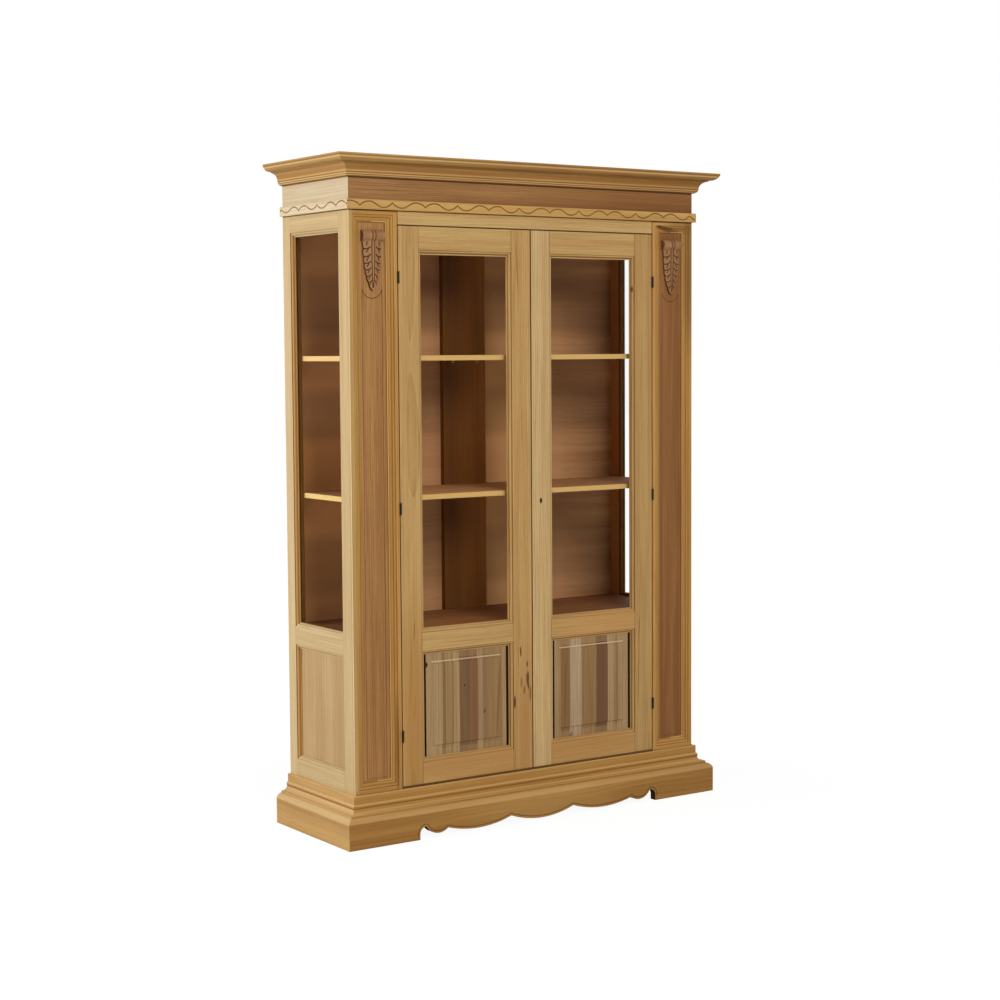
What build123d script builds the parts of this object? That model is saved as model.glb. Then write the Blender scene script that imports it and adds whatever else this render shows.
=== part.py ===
from build123d import *
import os

os.makedirs("parts", exist_ok=True)

# Display cabinet in raw wood: two framed doors between moulded pilasters, glazed sides,
# a scalloped plinth and a mitred crown cornice. Millimetres, +Z up, front towards -Y,
# origin on the floor under the middle of the cabinet.

# Overall
total_height = 2000
body_width = 1270
body_depth = 395
base_reach = 50          # how far the plinth stands out of the body
cornice_reach = 65       # how far the cornice stands out of the body

# Heights, from the floor up
plinth_height = 92
base_moulding_height = 56
sill_height = 5
header_height = 41
strip_height = 28
frieze_show = 63         # frieze between the wave strip and the cornice
cornice_height = 62
frieze_lap = 47          # frieze hidden behind the cornice

# Thicknesses
plinth_thickness = 24
frame_thickness = 28     # side frames and pilaster frames
door_thickness = 22
board_thickness = 18
frieze_thickness = 22
strip_reach = 10
cover_thickness = 12
shelf_thickness = 15
muntin_thickness = 20
back_thickness = 5
glass_thickness = 4
panel_thickness = 10

# Moulded edge that runs round every sight opening
edge_width = 12
edge_depth = 10
edge_quirk = 2.5
edge_lip = 4             # flat of the lip
edge_step = 1.5          # small step between the round and the lip
lip_thickness = 3        # wood behind the lip, in front of the glass
rebate_lap = 9           # how far the rebate reaches behind the lip
glass_gap = 1            # glass to rebate, all round

# Plinth and base moulding, reaches outwards from the body and drops from their tops
plinth_bevel_width = 17
plinth_bevel_height = 15
plinth_bevel_bulge = 3.6
base_band = 10
base_band_height = 24
base_bead = 14.5
base_bead_round = 5
base_bead_height = 12
base_cove_top = 13.5
base_cove_foot = 31.5
base_fillet = 33
base_fillet_height = 6

# Cornice, reaches outwards from the body and rises from its bottom
crown_start = (2, 1)
crown_small_round = (15, 11.5)
crown_small_fillet = (15.8, 13.5)
crown_cove = (38, 38)
crown_fillet = (39, 41)
crown_top_fillet = 3

# Pilasters
pilaster_width = 162.5
pilaster_round = (8, 3.5)
pilaster_step = (1.5, 1)
pilaster_lip = 4
pilaster_flat = 14
pilaster_edge = 21
pilaster_recess = 10
pilaster_lip_depth = 7.5
pilaster_quirk = 1.5
panel_lap = 7

# Side frames
back_stile = 46
front_stile = 60
side_bottom_rail = 108
side_top_rail = 52
side_groove = 8
side_panel_gap = 1

# Doors
door_gap = 1.5           # to the pilasters, the sill and the header
meeting_gap = 3
stop_gap = 0.5           # door to the boards that it closes against
stop_lap = 6
door_stile = 70
door_bottom_rail = 65
door_top_rail = 70
middle_rail_bottom = 552.5
middle_rail = 56
tenon_length = 40
tenon_thickness = 7
tenon_set = 8            # from the face of the frame to the tenon
tenon_shoulder = 8
door_panel_edge = 7      # thickness of the panel where it sits in its grooves
door_panel_side_gap = 6
door_panel_groove = 8
door_panel_end_gap = 1
field_border = 28        # from the lip to the raised field
field_rise = 4
field_bevel = 5
panel_lip = 2

# Inside
floor_top = 612
shelf_heights = [1000, 1412.5]
shelf_setback = 2        # shelf behind the pilaster frames
shelf_end_gap = 1
muntin_width = 160
back_rebate = 10
rest_reach = 9           # small bracket under a shelf
rest_tall = 10
rest_wide = 8
rest_flange = 2.5
rest_spacing = 92        # the two rests on the muntin
rest_inset = 30          # from the edge of a stile to its rest

# Hinges
hinge_inset = 150        # from each end of the door to the middle of its hinge
barrel_radius = 3.2
barrel_clearance = 0.2
knuckle_length = 17.3
knuckle_gap = 0.3
leaf_thickness = 1.2
leaf_depth = 18
hinge_pin_radius = 1.6
hinge_running = 0.08
hinge_pin_end = 2        # from the top of the upper knuckle to the end of the pin
hinge_bore_end = 1       # past the end of the pin

# Lock in the right door
lock_height = 980
keyhole_offset = 34      # from the edge of the door
keyhole_radius = 2.8
keyhole_slot = 3.4
keyhole_drop = 10
lock_length = 58
lock_tall = 64
lock_wall = 1.5
lock_case_thickness = 11
face_plate_tall = 84
face_plate_width = 16
face_plate_thickness = 2
lock_bolt_tall = 18
lock_bolt_length = 30
lock_bolt_clearance = 0.3
lock_throw = 8
strike_clearance = 2     # past the end of the thrown bolt

# Flat slide bolts behind the left door
bar_width = 14
bar_thickness = 4
bar_length = 90
bar_offset = 3           # from the back of the door
bar_clearance = 0.3
bar_from_edge = 35       # from the edge of the door to the middle of the bar
bolt_throw = 12
keeper_clearance = 1      # past the end of the thrown bar
board_clearance = 0.5     # drawn bar to the boards
guide_tall = 44
guide_width = 24
guide_depth = 10
guide_inset = 14         # from the tip of the bar
knob_length = 10
knob_reach = 9
knob_inset = 6           # from the inner end of the bar

# Scalloped edge of the front plinth, half of it: places from the middle, heights from the floor
foot_place = 444
foot_straight = 18
peak_place = 422
peak_height = 38
small_lobe_place = 383
small_lobe_height = 12.5
outer_cusp_place = 346
outer_cusp_height = 24
side_lobe_height = 8
inner_cusp_place = 117
inner_cusp_height = 28
centre_lobe_height = 6.5

# Plinth inside
block_size = 45
block_drop = 82
plinth_back_height = 80
plinth_back_thickness = 20

# Carved corbel on each pilaster
corbel_top = 57          # from the top of the body to the top of the scroll
scroll_radius = 17
scroll_width = 73
scroll_reach = 20
scroll_band = 5          # from the middle of the scroll to each groove of its band
scroll_groove = 1.6
carved_width = 62
carved_height = 140
carved_crown = 12        # thickness of the leaf along its middle
carved_edge = 7          # and at its edges
leaf_taper = 0.62        # how soon the leaf widens from its tip, as a power
lobe_count = 6           # on each side of the leaf
lobe_bulge = 5.5
lobe_drop = 3
vein_width = 4
vein_depth = 2.5
vein_rise = 15
rib_half = 3.5

# Worked out from the sizes above
half_width = body_width / 2
front = -(body_depth - max(cornice_reach, base_reach)) / 2
back = front + body_depth
base_top = plinth_height + base_moulding_height
sill_top = base_top + sill_height
cornice_bottom = total_height - cornice_height
strip_top = cornice_bottom - frieze_show
body_top = strip_top - strip_height
header_bottom = body_top - header_height
frieze_top = cornice_bottom + frieze_lap
half_opening = half_width - pilaster_width
door_bottom = sill_top + door_gap
door_top = header_bottom - door_gap
door_outer = half_opening - door_gap
door_inner = meeting_gap / 2
middle_rail_top = middle_rail_bottom + middle_rail
inner_half = half_width - frame_thickness
rail_thickness = door_thickness + stop_gap
board_front = front + rail_thickness
frame_back = front + frame_thickness
glass_depth = edge_depth + lip_thickness
muntin_front = back - back_thickness - muntin_thickness
board_back = back - back_thickness
far = 4 * max(base_reach, cornice_reach, frame_thickness)

# Local planes: x across, y up, z out of the wood, with the wood on the negative side
front_plane = Plane((0, front, 0), x_dir=(1, 0, 0), z_dir=(0, -1, 0))
side_plane = Plane((-half_width, 0, 0), x_dir=(0, -1, 0), z_dir=(-1, 0, 0))


def block(x, y, z):
    """Box from three pairs of limits."""
    size = [pair[1] - pair[0] for pair in (x, y, z)]
    middle = [(pair[0] + pair[1]) / 2 for pair in (x, y, z)]
    return Pos(*middle) * Box(*size)


def slab(points, top, bottom):
    """Flat piece with a straight-sided outline, between two local heights."""
    face = make_face(Polyline(*points, close=True))
    return Pos(0, 0, bottom) * extrude(face, amount=top - bottom)


def mirrored(shape):
    """The same piece on the other side of the cabinet."""
    return mirror(shape, about=Plane.YZ)


def both_sides(shape):
    return [shape, mirrored(shape)]


def round_between(start, end, centre):
    """Quarter round from start to end about a centre, hollow or full."""
    share = 0.7071
    middle = tuple(c + share * (s - c) + share * (e - c) for s, e, c in zip(start, end, centre))
    return ThreePointArc(start, middle, end)


def bowed(start, end, bulge):
    """Shallow curve from start to end that stands out by bulge to its left."""
    run = (end[0] - start[0], end[1] - start[1])
    length = (run[0] ** 2 + run[1] ** 2) ** 0.5
    middle = (
        (start[0] + end[0]) / 2 - run[1] / length * bulge,
        (start[1] + end[1]) / 2 + run[0] / length * bulge,
    )
    return ThreePointArc(start, middle, end)


def save(name, *shapes):
    """Write one node, with each of its pieces as a separate solid."""
    solids = [solid for shape in shapes for solid in shape.solids()]
    export_step(Compound(solids), f"parts/{name}.step")


# Mouldings that wrap round the front and both sides, mitred at the front corners


def wrapped(edges):
    """Front, left and right lengths of one moulding from its section (outwards, up)."""
    section = make_face(edges)
    run_front = Plane((0, front, 0), x_dir=(0, -1, 0), z_dir=(-1, 0, 0)) * section
    run_side = Plane((-half_width, front - far, 0), x_dir=(-1, 0, 0), z_dir=(0, 1, 0)) * section
    across = extrude(run_front, amount=half_width + far, both=True)
    along = extrude(run_side, amount=body_depth + far)
    front_keep = slab(
        [
            (-half_width - far, front - far),
            (half_width + far, front - far),
            (half_width - far, front + far),
            (-half_width + far, front + far),
        ],
        total_height + far,
        -far,
    )
    side_keep = slab(
        [
            (-half_width - far, front - far),
            (-half_width + far, front + far),
            (-half_width + far, back),
            (-half_width - far, back),
        ],
        total_height + far,
        -far,
    )
    left = along & side_keep
    return across & front_keep, left, mirrored(left)


def board_section(inner, outer, bottom, top):
    return [Polyline((inner, bottom), (outer, bottom), (outer, top), (inner, top), close=True)]


# Plinth


def plinth_section():
    inner = base_reach - plinth_thickness
    shoulder = base_reach - plinth_bevel_width
    arris = plinth_height - plinth_bevel_height
    return [
        Polyline(
            (shoulder, plinth_height),
            (inner, plinth_height),
            (inner, 0),
            (base_reach, 0),
            (base_reach, arris),
        ),
        bowed((base_reach, arris), (shoulder, plinth_height), -plinth_bevel_bulge),
    ]


def scallops():
    """What is cut away under the front plinth, between its two feet."""
    foot = [
        Line((-foot_place, -1), (-foot_place, foot_straight)),
        round_between((-foot_place, foot_straight), (-peak_place, peak_height), (-peak_place, foot_straight)),
    ]
    lobes = [
        ThreePointArc(
            (-peak_place, peak_height),
            (-small_lobe_place, small_lobe_height),
            (-outer_cusp_place, outer_cusp_height),
        ),
        ThreePointArc(
            (-outer_cusp_place, outer_cusp_height),
            (-(outer_cusp_place + inner_cusp_place) / 2, side_lobe_height),
            (-inner_cusp_place, inner_cusp_height),
        ),
    ]
    half = foot + lobes
    centre = ThreePointArc(
        (-inner_cusp_place, inner_cusp_height), (0, centre_lobe_height), (inner_cusp_place, inner_cusp_height)
    )
    other_half = [mirror(edge, about=Plane.YZ) for edge in half]
    closing = Line((foot_place, -1), (-foot_place, -1))
    return make_face(half + [centre] + other_half + [closing])


plinth_front, plinth_left, plinth_right = wrapped(plinth_section())
plinth_front -= extrude(front_plane * scallops(), amount=base_reach + 1)
save("plinth_front", plinth_front)
save("plinth_sides", plinth_left, plinth_right)

plinth_inside = half_width + base_reach - plinth_thickness
save(
    "plinth_back",
    block(
        (-plinth_inside, plinth_inside),
        (back - plinth_back_thickness, back),
        (plinth_height - plinth_back_height, plinth_height),
    ),
)


def corner_block(y_start):
    corner = block(
        (-plinth_inside, -plinth_inside + block_size),
        (y_start, y_start + block_size),
        (plinth_height - block_drop, plinth_height),
    )
    return both_sides(corner)


front_blocks = corner_block(front - base_reach + plinth_thickness)
back_blocks = corner_block(back - plinth_back_thickness - block_size)
save("plinth_blocks", *front_blocks, *back_blocks)


def base_section():
    """Base moulding over the plinth: band, bead, cove and fillet."""
    band_foot = base_top - base_band_height
    bead_level = band_foot - base_bead_round
    bead_foot = band_foot - base_bead_height
    cove_top = (base_cove_top, bead_foot - 1)
    cove_foot = (base_cove_foot, plinth_height + base_fillet_height)
    return [
        Polyline(
            cove_foot, (base_fillet, cove_foot[1]), (base_fillet, plinth_height), (0, plinth_height),
            (0, base_top), (base_band, base_top), (base_band, band_foot),
        ),
        round_between((base_band, band_foot), (base_bead, bead_level), (base_band, bead_level)),
        Polyline((base_bead, bead_level), (base_bead, bead_foot), cove_top),
        round_between(cove_top, cove_foot, (cove_foot[0], cove_top[1])),
    ]


base_front, base_left, base_right = wrapped(base_section())
save("base_moulding_front", base_front)
save("base_moulding_sides", base_left, base_right)


# Frieze, wave strip, cornice and dust cover

frieze_front, frieze_left, frieze_right = wrapped(board_section(-frieze_thickness, 0, body_top, frieze_top))
save("frieze_front", frieze_front)
save("frieze_sides", frieze_left, frieze_right)
frieze_inside = half_width - frieze_thickness
save(
    "frieze_back",
    block((-frieze_inside, frieze_inside), (back - frieze_thickness, back), (body_top, frieze_top)),
)

strip_front, strip_left, strip_right = wrapped(board_section(0, strip_reach, body_top, strip_top))
save("wave_strip_front", strip_front)
save("wave_strip_sides", strip_left, strip_right)


def cornice_section():
    """Crown from the bottom up: small round, fillet, cove, fillet, large round and top fillet."""
    steps = (crown_start, crown_small_round, crown_small_fillet, crown_cove, crown_fillet)
    small_foot, small_top, cove_foot, cove_top, round_foot = [
        (reach, cornice_bottom + rise) for reach, rise in steps
    ]
    round_top = (cornice_reach, total_height - crown_top_fillet)
    return [
        Line((0, cornice_bottom), small_foot),
        round_between(small_foot, small_top, (small_foot[0], small_top[1])),
        Polyline(small_top, (small_top[0], cove_foot[1]), cove_foot),
        round_between(cove_foot, cove_top, (cove_top[0], cove_foot[1])),
        Polyline(cove_top, (cove_top[0], round_foot[1]), round_foot),
        round_between(round_foot, round_top, (round_foot[0], round_top[1])),
        Polyline(round_top, (cornice_reach, total_height), (0, total_height), (0, cornice_bottom)),
    ]


cornice_front, cornice_left, cornice_right = wrapped(cornice_section())
save("cornice_front", cornice_front)
save("cornice_sides", cornice_left, cornice_right)
save(
    "dust_cover",
    block((-half_width, half_width), (front, back), (frieze_top, frieze_top + cover_thickness)),
)


# Moulded openings


def door_edge(half_span, through):
    """Half of an opening's section: quirk, round, small step and lip. x from the middle out, y down."""
    flat = -half_span
    round_foot = (flat + edge_width - edge_lip, -edge_depth + edge_step)
    return make_face(
        [
            Polyline((0, 1), (flat, 1), (flat, -edge_quirk)),
            round_between((flat, -edge_quirk), round_foot, (flat, round_foot[1])),
            Polyline(
                round_foot, (round_foot[0], -edge_depth), (flat + edge_width, -edge_depth),
                (flat + edge_width, -through), (0, -through), (0, 1),
            ),
        ]
    )


def pilaster_edge_section(half_span, through):
    """Broader moulding of the pilasters: quirk, round, fillet, hollow and lip."""
    flat = -half_span
    round_foot = (flat + pilaster_round[0], -pilaster_quirk - pilaster_round[1])
    hollow_top = (round_foot[0] + pilaster_step[0], round_foot[1] - pilaster_step[1])
    hollow_foot = (flat + pilaster_edge - pilaster_lip, -pilaster_lip_depth)
    return make_face(
        [
            Polyline((0, 1), (flat, 1), (flat, -pilaster_quirk)),
            round_between((flat, -pilaster_quirk), round_foot, (flat, round_foot[1])),
            Polyline(round_foot, (round_foot[0], hollow_top[1]), hollow_top),
            round_between(hollow_top, hollow_foot, (hollow_foot[0], hollow_top[1])),
            Polyline(
                hollow_foot, (flat + pilaster_edge, hollow_foot[1]), (flat + pilaster_edge, -through),
                (0, -through), (0, 1),
            ),
        ]
    )


def moulded_hole(x, y, through, edge):
    """What is cut away for one opening between its flat lines, mitred at its corners."""
    width = x[1] - x[0]
    height = y[1] - y[0]
    half_across = edge(width / 2, through)
    half_up = edge(height / 2, through)
    across = Plane.XZ * (half_across + mirror(half_across, about=Plane.YZ))
    up = Plane.YZ * (half_up + mirror(half_up, about=Plane.YZ))
    hole = extrude(across, amount=height, both=True) & extrude(up, amount=width, both=True)
    return Pos((x[0] + x[1]) / 2, (y[0] + y[1]) / 2, 0) * hole


def inset(x, y, amount):
    """A rectangle's limits drawn in by amount on every side."""
    return (x[0] + amount, x[1] - amount), (y[0] + amount, y[1] - amount)


def frame_members(x, y, stiles, holes, thickness):
    """Stiles over the full height and rails tenoned between them, mitred over the moulding."""
    left = x[0] + stiles[0]
    right = x[1] - stiles[1]
    lip = edge_width
    notches_left = []
    notches_right = []
    for low, high in holes:
        notches_left += [(left, low), (left + lip, low + lip), (left + lip, high - lip), (left, high)]
        notches_right += [(right, low), (right - lip, low + lip), (right - lip, high - lip), (right, high)]
    left_outline = [(x[0], y[0]), (left, y[0]), *notches_left, (left, y[1]), (x[0], y[1])]
    right_outline = [(x[1], y[0]), (right, y[0]), *notches_right, (right, y[1]), (x[1], y[1])]
    left_stile = slab(left_outline, 0, -thickness)
    right_stile = slab(right_outline, 0, -thickness)
    rails = []
    bounds = [y[0]] + [level for hole in holes for level in hole] + [y[1]]
    tenon_depth = (-tenon_set - tenon_thickness, -tenon_set)
    for number in range(0, len(bounds), 2):
        low, high = bounds[number], bounds[number + 1]
        outline = [(left, low), (right, low), (right, high), (left, high)]
        if number > 0:
            outline[0:2] = [(left, low), (left + lip, low - lip), (right - lip, low - lip), (right, low)]
        if number + 2 < len(bounds):
            outline[-2:] = [(right, high), (right - lip, high + lip), (left + lip, high + lip), (left, high)]
        tenon_levels = (low + tenon_shoulder, high - tenon_shoulder)
        tenons = [
            block((left - tenon_length, left), tenon_levels, tenon_depth),
            block((right, right + tenon_length), tenon_levels, tenon_depth),
        ]
        left_stile -= tenons[0]
        right_stile -= tenons[1]
        rails.append(slab(outline, 0, -thickness) + tenons[0] + tenons[1])
    return left_stile, right_stile, rails


def beads(x, y, depths):
    """Four mitred glazing beads that fill a rebate behind the glass."""
    (left, right), (low, high) = x, y
    (inner_left, inner_right), (inner_low, inner_high) = inset(x, y, rebate_lap)
    outlines = [
        [(left, low), (right, low), (inner_right, inner_low), (inner_left, inner_low)],
        [(left, high), (right, high), (inner_right, inner_high), (inner_left, inner_high)],
        [(left, low), (left, high), (inner_left, inner_high), (inner_left, inner_low)],
        [(right, low), (right, high), (inner_right, inner_high), (inner_right, inner_low)],
    ]
    return [slab(outline, depths[1], depths[0]) for outline in outlines]


# Side frames, drawn for the left side and mirrored

side_x = (-back, -front)
side_y = (plinth_height, body_top)
side_holes = [
    (plinth_height + side_bottom_rail, middle_rail_bottom),
    (middle_rail_top, body_top - side_top_rail),
]
side_open_x = (side_x[0] + back_stile, side_x[1] - front_stile)
side_back, side_front, side_rails = frame_members(
    side_x, side_y, (back_stile, front_stile), side_holes, frame_thickness
)

panel_cut = moulded_hole(side_open_x, side_holes[0], glass_depth, door_edge)
sight_cut = moulded_hole(side_open_x, side_holes[1], frame_thickness + 1, door_edge)
lip_x, lip_y = inset(side_open_x, side_holes[0], edge_width)
groove_x, groove_y = inset(lip_x, lip_y, -side_groove)
groove_depths = (-glass_depth - panel_thickness, -glass_depth)
panel_groove = block(groove_x, groove_y, groove_depths)
panel_back = block(lip_x, lip_y, (-frame_thickness - 1, -glass_depth))
sight_x, sight_y = inset(side_open_x, side_holes[1], edge_width)
rebate_x, rebate_y = inset(sight_x, sight_y, -rebate_lap)
glass_rebate = block(rebate_x, rebate_y, (-frame_thickness - 1, -glass_depth))
side_cuts = [panel_cut, sight_cut, panel_groove, panel_back, glass_rebate]


def cut_all(shape, cuts):
    for cut in cuts:
        shape -= cut
    return shape


side_back, side_front = cut_all(side_back, side_cuts), cut_all(side_front, side_cuts)
side_rails = [cut_all(rail, side_cuts) for rail in side_rails]

# The front stile is mitred to the pilaster, and the back stile is rebated for the back
corner_wedge = slab(
    [(-half_width, front), (-half_width + far, front), (-half_width + far, front + far)],
    body_top + 1,
    plinth_height - 1,
)
side_front = side_plane * side_front - corner_wedge
side_back = side_plane * side_back - block(
    (-inner_half - back_rebate, -inner_half + 1), (board_back, back + 1), (plinth_height - 1, body_top + 1)
)


def shelf_rest(level):
    """Small bracket that points along +X from the origin, with its top at a shelf's underside."""
    outline = [
        (0, level),
        (rest_reach, level),
        (rest_reach, level - rest_flange),
        (rest_flange, level - rest_tall),
        (0, level - rest_tall),
    ]
    return Plane.XZ * Pos(0, 0, -rest_wide / 2) * slab(outline, rest_wide, 0)


shelf_rests = []
for level in shelf_heights:
    for y in (front + front_stile + edge_width - rest_inset, back - back_stile - edge_width + rest_inset):
        shelf_rests += both_sides(Pos(-inner_half, y, 0) * shelf_rest(level))

save("side_front_stiles", *both_sides(side_front))
save("side_back_stiles", *both_sides(side_back))
for name, rail in zip(("side_bottom_rails", "side_middle_rails", "side_top_rails"), side_rails):
    save(name, *both_sides(side_plane * rail))

side_panel_x, side_panel_y = inset(groove_x, groove_y, side_panel_gap)
side_panel = side_plane * block(side_panel_x, side_panel_y, groove_depths)
save("side_panels", *both_sides(side_panel))
pane_x, pane_y = inset(rebate_x, rebate_y, glass_gap)
side_pane = side_plane * block(pane_x, pane_y, (-glass_depth - glass_thickness, -glass_depth))
save("side_panes", *both_sides(side_pane))
side_bead_depths = (-frame_thickness, -glass_depth - glass_thickness)
side_beads = [side_plane * bead for bead in beads(rebate_x, rebate_y, side_bead_depths)]
save("side_beads", *side_beads, *[mirrored(bead) for bead in side_beads])


# Pilasters, drawn for the left side and mirrored

pilaster_x = (-half_width, -half_opening)
pilaster_y = (base_top, body_top)
pilaster_member = pilaster_flat + pilaster_edge
inner_x, inner_y = inset(pilaster_x, pilaster_y, pilaster_member)
hole_x, hole_y = inset(pilaster_x, pilaster_y, pilaster_flat)
pilaster_hole = moulded_hole(hole_x, hole_y, frame_thickness + 1, pilaster_edge_section)
seat_x, seat_y = inset(inner_x, inner_y, -panel_lap)
pilaster_rebate = block(seat_x, seat_y, (-frame_thickness - 1, -pilaster_recess))
corners = [(pilaster_x[i], pilaster_y[j]) for i, j in ((0, 0), (1, 0), (1, 1), (0, 1))]
inner_corners = [(inner_x[i], inner_y[j]) for i, j in ((0, 0), (1, 0), (1, 1), (0, 1))]
back_wedge = slab(
    [(-half_width, front), (-half_width, front + far), (-half_width + far, front + far)],
    body_top + 1,
    plinth_height - 1,
)
hinge_axis_x = half_opening - door_gap / 2
hinge_axis_y = front - barrel_radius - barrel_clearance
hinge_height = 2 * knuckle_length + knuckle_gap
hinge_heights = [door_bottom + hinge_inset, (door_bottom + door_top) / 2, door_top - hinge_inset]


def hinge_leaf(inner_face, height):
    """Hinge leaf against one wooden edge, from the barrel back into its recess."""
    outer_face = inner_face + leaf_thickness
    levels = (height - hinge_height / 2, height + hinge_height / 2)
    return block((-outer_face, -inner_face), (hinge_axis_y, front + leaf_depth), levels)


pilaster_members = []
for number in range(4):
    following = (number + 1) % 4
    outline = [corners[number], corners[following], inner_corners[following], inner_corners[number]]
    member = cut_all(slab(outline, 0, -frame_thickness), [pilaster_hole, pilaster_rebate])
    member = front_plane * member - back_wedge
    for height in hinge_heights:
        member -= hinge_leaf(half_opening, height)
    pilaster_members.append(member)
save("pilaster_frames", *pilaster_members, *[mirrored(member) for member in pilaster_members])

panel_x, panel_y = inset(seat_x, seat_y, side_panel_gap)
pilaster_panel = front_plane * block(panel_x, panel_y, (-pilaster_recess - panel_thickness, -pilaster_recess))
save("pilaster_panels", *both_sides(pilaster_panel))


# Carved corbel: a scroll over a hanging leaf, glued to the pilaster panel


scroll_level = carved_height + scroll_radius


def scroll():
    """Round roll over the leaf, with two grooves round its middle."""
    groove_bottom = scroll_radius - scroll_groove
    points = [(-scroll_width / 2, 0), (-scroll_width / 2, scroll_radius)]
    for middle in (-scroll_band, scroll_band):
        points += [
            (middle - scroll_groove, scroll_radius),
            (middle, groove_bottom),
            (middle + scroll_groove, scroll_radius),
        ]
    points += [(scroll_width / 2, scroll_radius), (scroll_width / 2, 0)]
    roll = revolve(make_face(Polyline(*points, close=True)), axis=Axis.X)
    return Pos(0, scroll_level, scroll_reach - scroll_radius) * roll


def leaf_edge_at(level):
    """Half of the leaf's width at one level above its tip."""
    return carved_width / 2 * (level / scroll_level) ** leaf_taper


def surface_at(place):
    """Thickness of the leaf at one place beside its middle."""
    return carved_crown - (carved_crown - carved_edge) * abs(place) / (carved_width / 2)


def vein(start, end):
    """Groove with two sloping sides between two places on the leaf."""
    first = Vector(start[0], start[1], surface_at(start[0]))
    along = Vector(end[0], end[1], surface_at(end[0])) - first
    sideways = along.cross(Vector(0, 0, 1))
    section = Plane(first, x_dir=sideways, z_dir=along) * make_face(
        Polyline((-vein_width, -vein_depth), (0, vein_depth), (vein_width, -vein_depth), close=True)
    )
    return extrude(section, amount=along.length)


def corbel():
    """Local plane: x across, y up from the tip of the leaf, z out of the panel."""
    notches = [scroll_level * (1 - number / lobe_count) for number in range(lobe_count + 1)]
    lobes = []
    for high, low in zip(notches, notches[1:]):
        start, end = (leaf_edge_at(high), high), (leaf_edge_at(low), low)
        out = (start[0] + end[0]) / 2 + lobe_bulge
        lobes.append(ThreePointArc(start, (out, (high + low) / 2 - lobe_drop), end))
    half = make_face([Line((0, 0), (0, scroll_level)), Line((0, scroll_level), lobes[0] @ 0), *lobes])
    roof = make_face(
        Polyline(
            (0, 0), (0, carved_crown), (carved_width, surface_at(carved_width)), (carved_width, 0), close=True
        )
    )
    leaf = extrude(half, amount=carved_crown) & extrude(Plane.XZ * roof, amount=-2 * carved_height)
    for level in notches[1:-1]:
        leaf -= vein((leaf_edge_at(level) + vein_width, level), (rib_half, level + vein_rise))
    leaf -= vein((rib_half, notches[-2]), (rib_half, scroll_level))
    carving = scroll() + leaf + mirrored(leaf)
    return carving & block((-scroll_width, scroll_width), (-1, 2 * carved_height), (0, 2 * scroll_reach))


leaf_tip = body_top - corbel_top - 2 * scroll_radius - carved_height
corbel_plane = Plane(
    (-(half_width + half_opening) / 2, front + pilaster_recess, leaf_tip), x_dir=(1, 0, 0), z_dir=(0, -1, 0)
)
save("corbels", *both_sides(corbel_plane * corbel()))


# Rails of the front and the boards behind them

bottom_rail = front_plane * (
    block((-half_width, half_width), (plinth_height, base_top), (-rail_thickness, 0))
    + block((-half_opening, half_opening), (base_top, sill_top), (-rail_thickness, 0))
)
bottom_rail = bottom_rail - back_wedge - mirrored(back_wedge)
save("bottom_rail", bottom_rail)
save(
    "header_rail",
    front_plane * block((-half_opening, half_opening), (header_bottom, body_top), (-rail_thickness, 0)),
)

muntin = block((-muntin_width / 2, muntin_width / 2), (muntin_front, board_back), (plinth_height, body_top))


def fixed_board(bottom):
    """Board across the cabinet, cut round the pilasters and the back muntin."""
    levels = (bottom, bottom + board_thickness)
    board = block((-half_opening, half_opening), (board_front, frame_back), levels)
    board += block((-inner_half, inner_half), (frame_back, board_back), levels)
    return board - muntin


bottom_board = fixed_board(door_bottom + stop_lap - board_thickness)
top_board = fixed_board(door_top - stop_lap)
save("display_floor", fixed_board(floor_top - board_thickness))

back_edge = inner_half + back_rebate
back_panel = block((-back_edge, 0), (board_back, back), (plinth_height, body_top))
save("back_panels", *both_sides(back_panel))

save("back_muntin", muntin)
for level in shelf_heights:
    shelf_rests += both_sides(Pos(-rest_spacing / 2, muntin_front, 0) * Rot(0, 0, -90) * shelf_rest(level))
save("shelf_rests", *shelf_rests)

shelf_half = inner_half - shelf_end_gap
shelf_front = frame_back + shelf_setback
save(
    "shelves",
    *[
        block((-shelf_half, shelf_half), (shelf_front, muntin_front), (level, level + shelf_thickness))
        for level in shelf_heights
    ],
)


# Hinges: the frame leaf holds the pin in its lower knuckle, and the door leaf drops over the pin


def on_axis(radius, low, high):
    """Upright cylinder on the hinge axis, between two heights."""
    return Pos(-hinge_axis_x, hinge_axis_y, (low + high) / 2) * Cylinder(radius, high - low)


def other_knuckle(low, high):
    """Room in front of the cabinet for the knuckle of the other leaf."""
    reach = barrel_radius + barrel_clearance
    return block((-hinge_axis_x - reach, -hinge_axis_x + reach), (hinge_axis_y - reach, front), (low, high))


def hinge(height):
    """The two leaves of one hinge."""
    low = height - hinge_height / 2
    high = height + hinge_height / 2
    lower_top = low + knuckle_length
    upper_foot = high - knuckle_length
    pin_top = high - hinge_pin_end
    bore_top = pin_top + hinge_bore_end
    bore_radius = hinge_pin_radius + hinge_running
    frame_leaf = hinge_leaf(half_opening, height) - other_knuckle(lower_top, high)
    frame_leaf += on_axis(barrel_radius, low, lower_top)
    frame_leaf += on_axis(hinge_pin_radius, lower_top, pin_top)
    door_leaf = hinge_leaf(door_outer - leaf_thickness, height) - other_knuckle(low, upper_foot)
    door_leaf += on_axis(barrel_radius, upper_foot, high)
    return frame_leaf, door_leaf - on_axis(bore_radius, upper_foot, bore_top)


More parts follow.
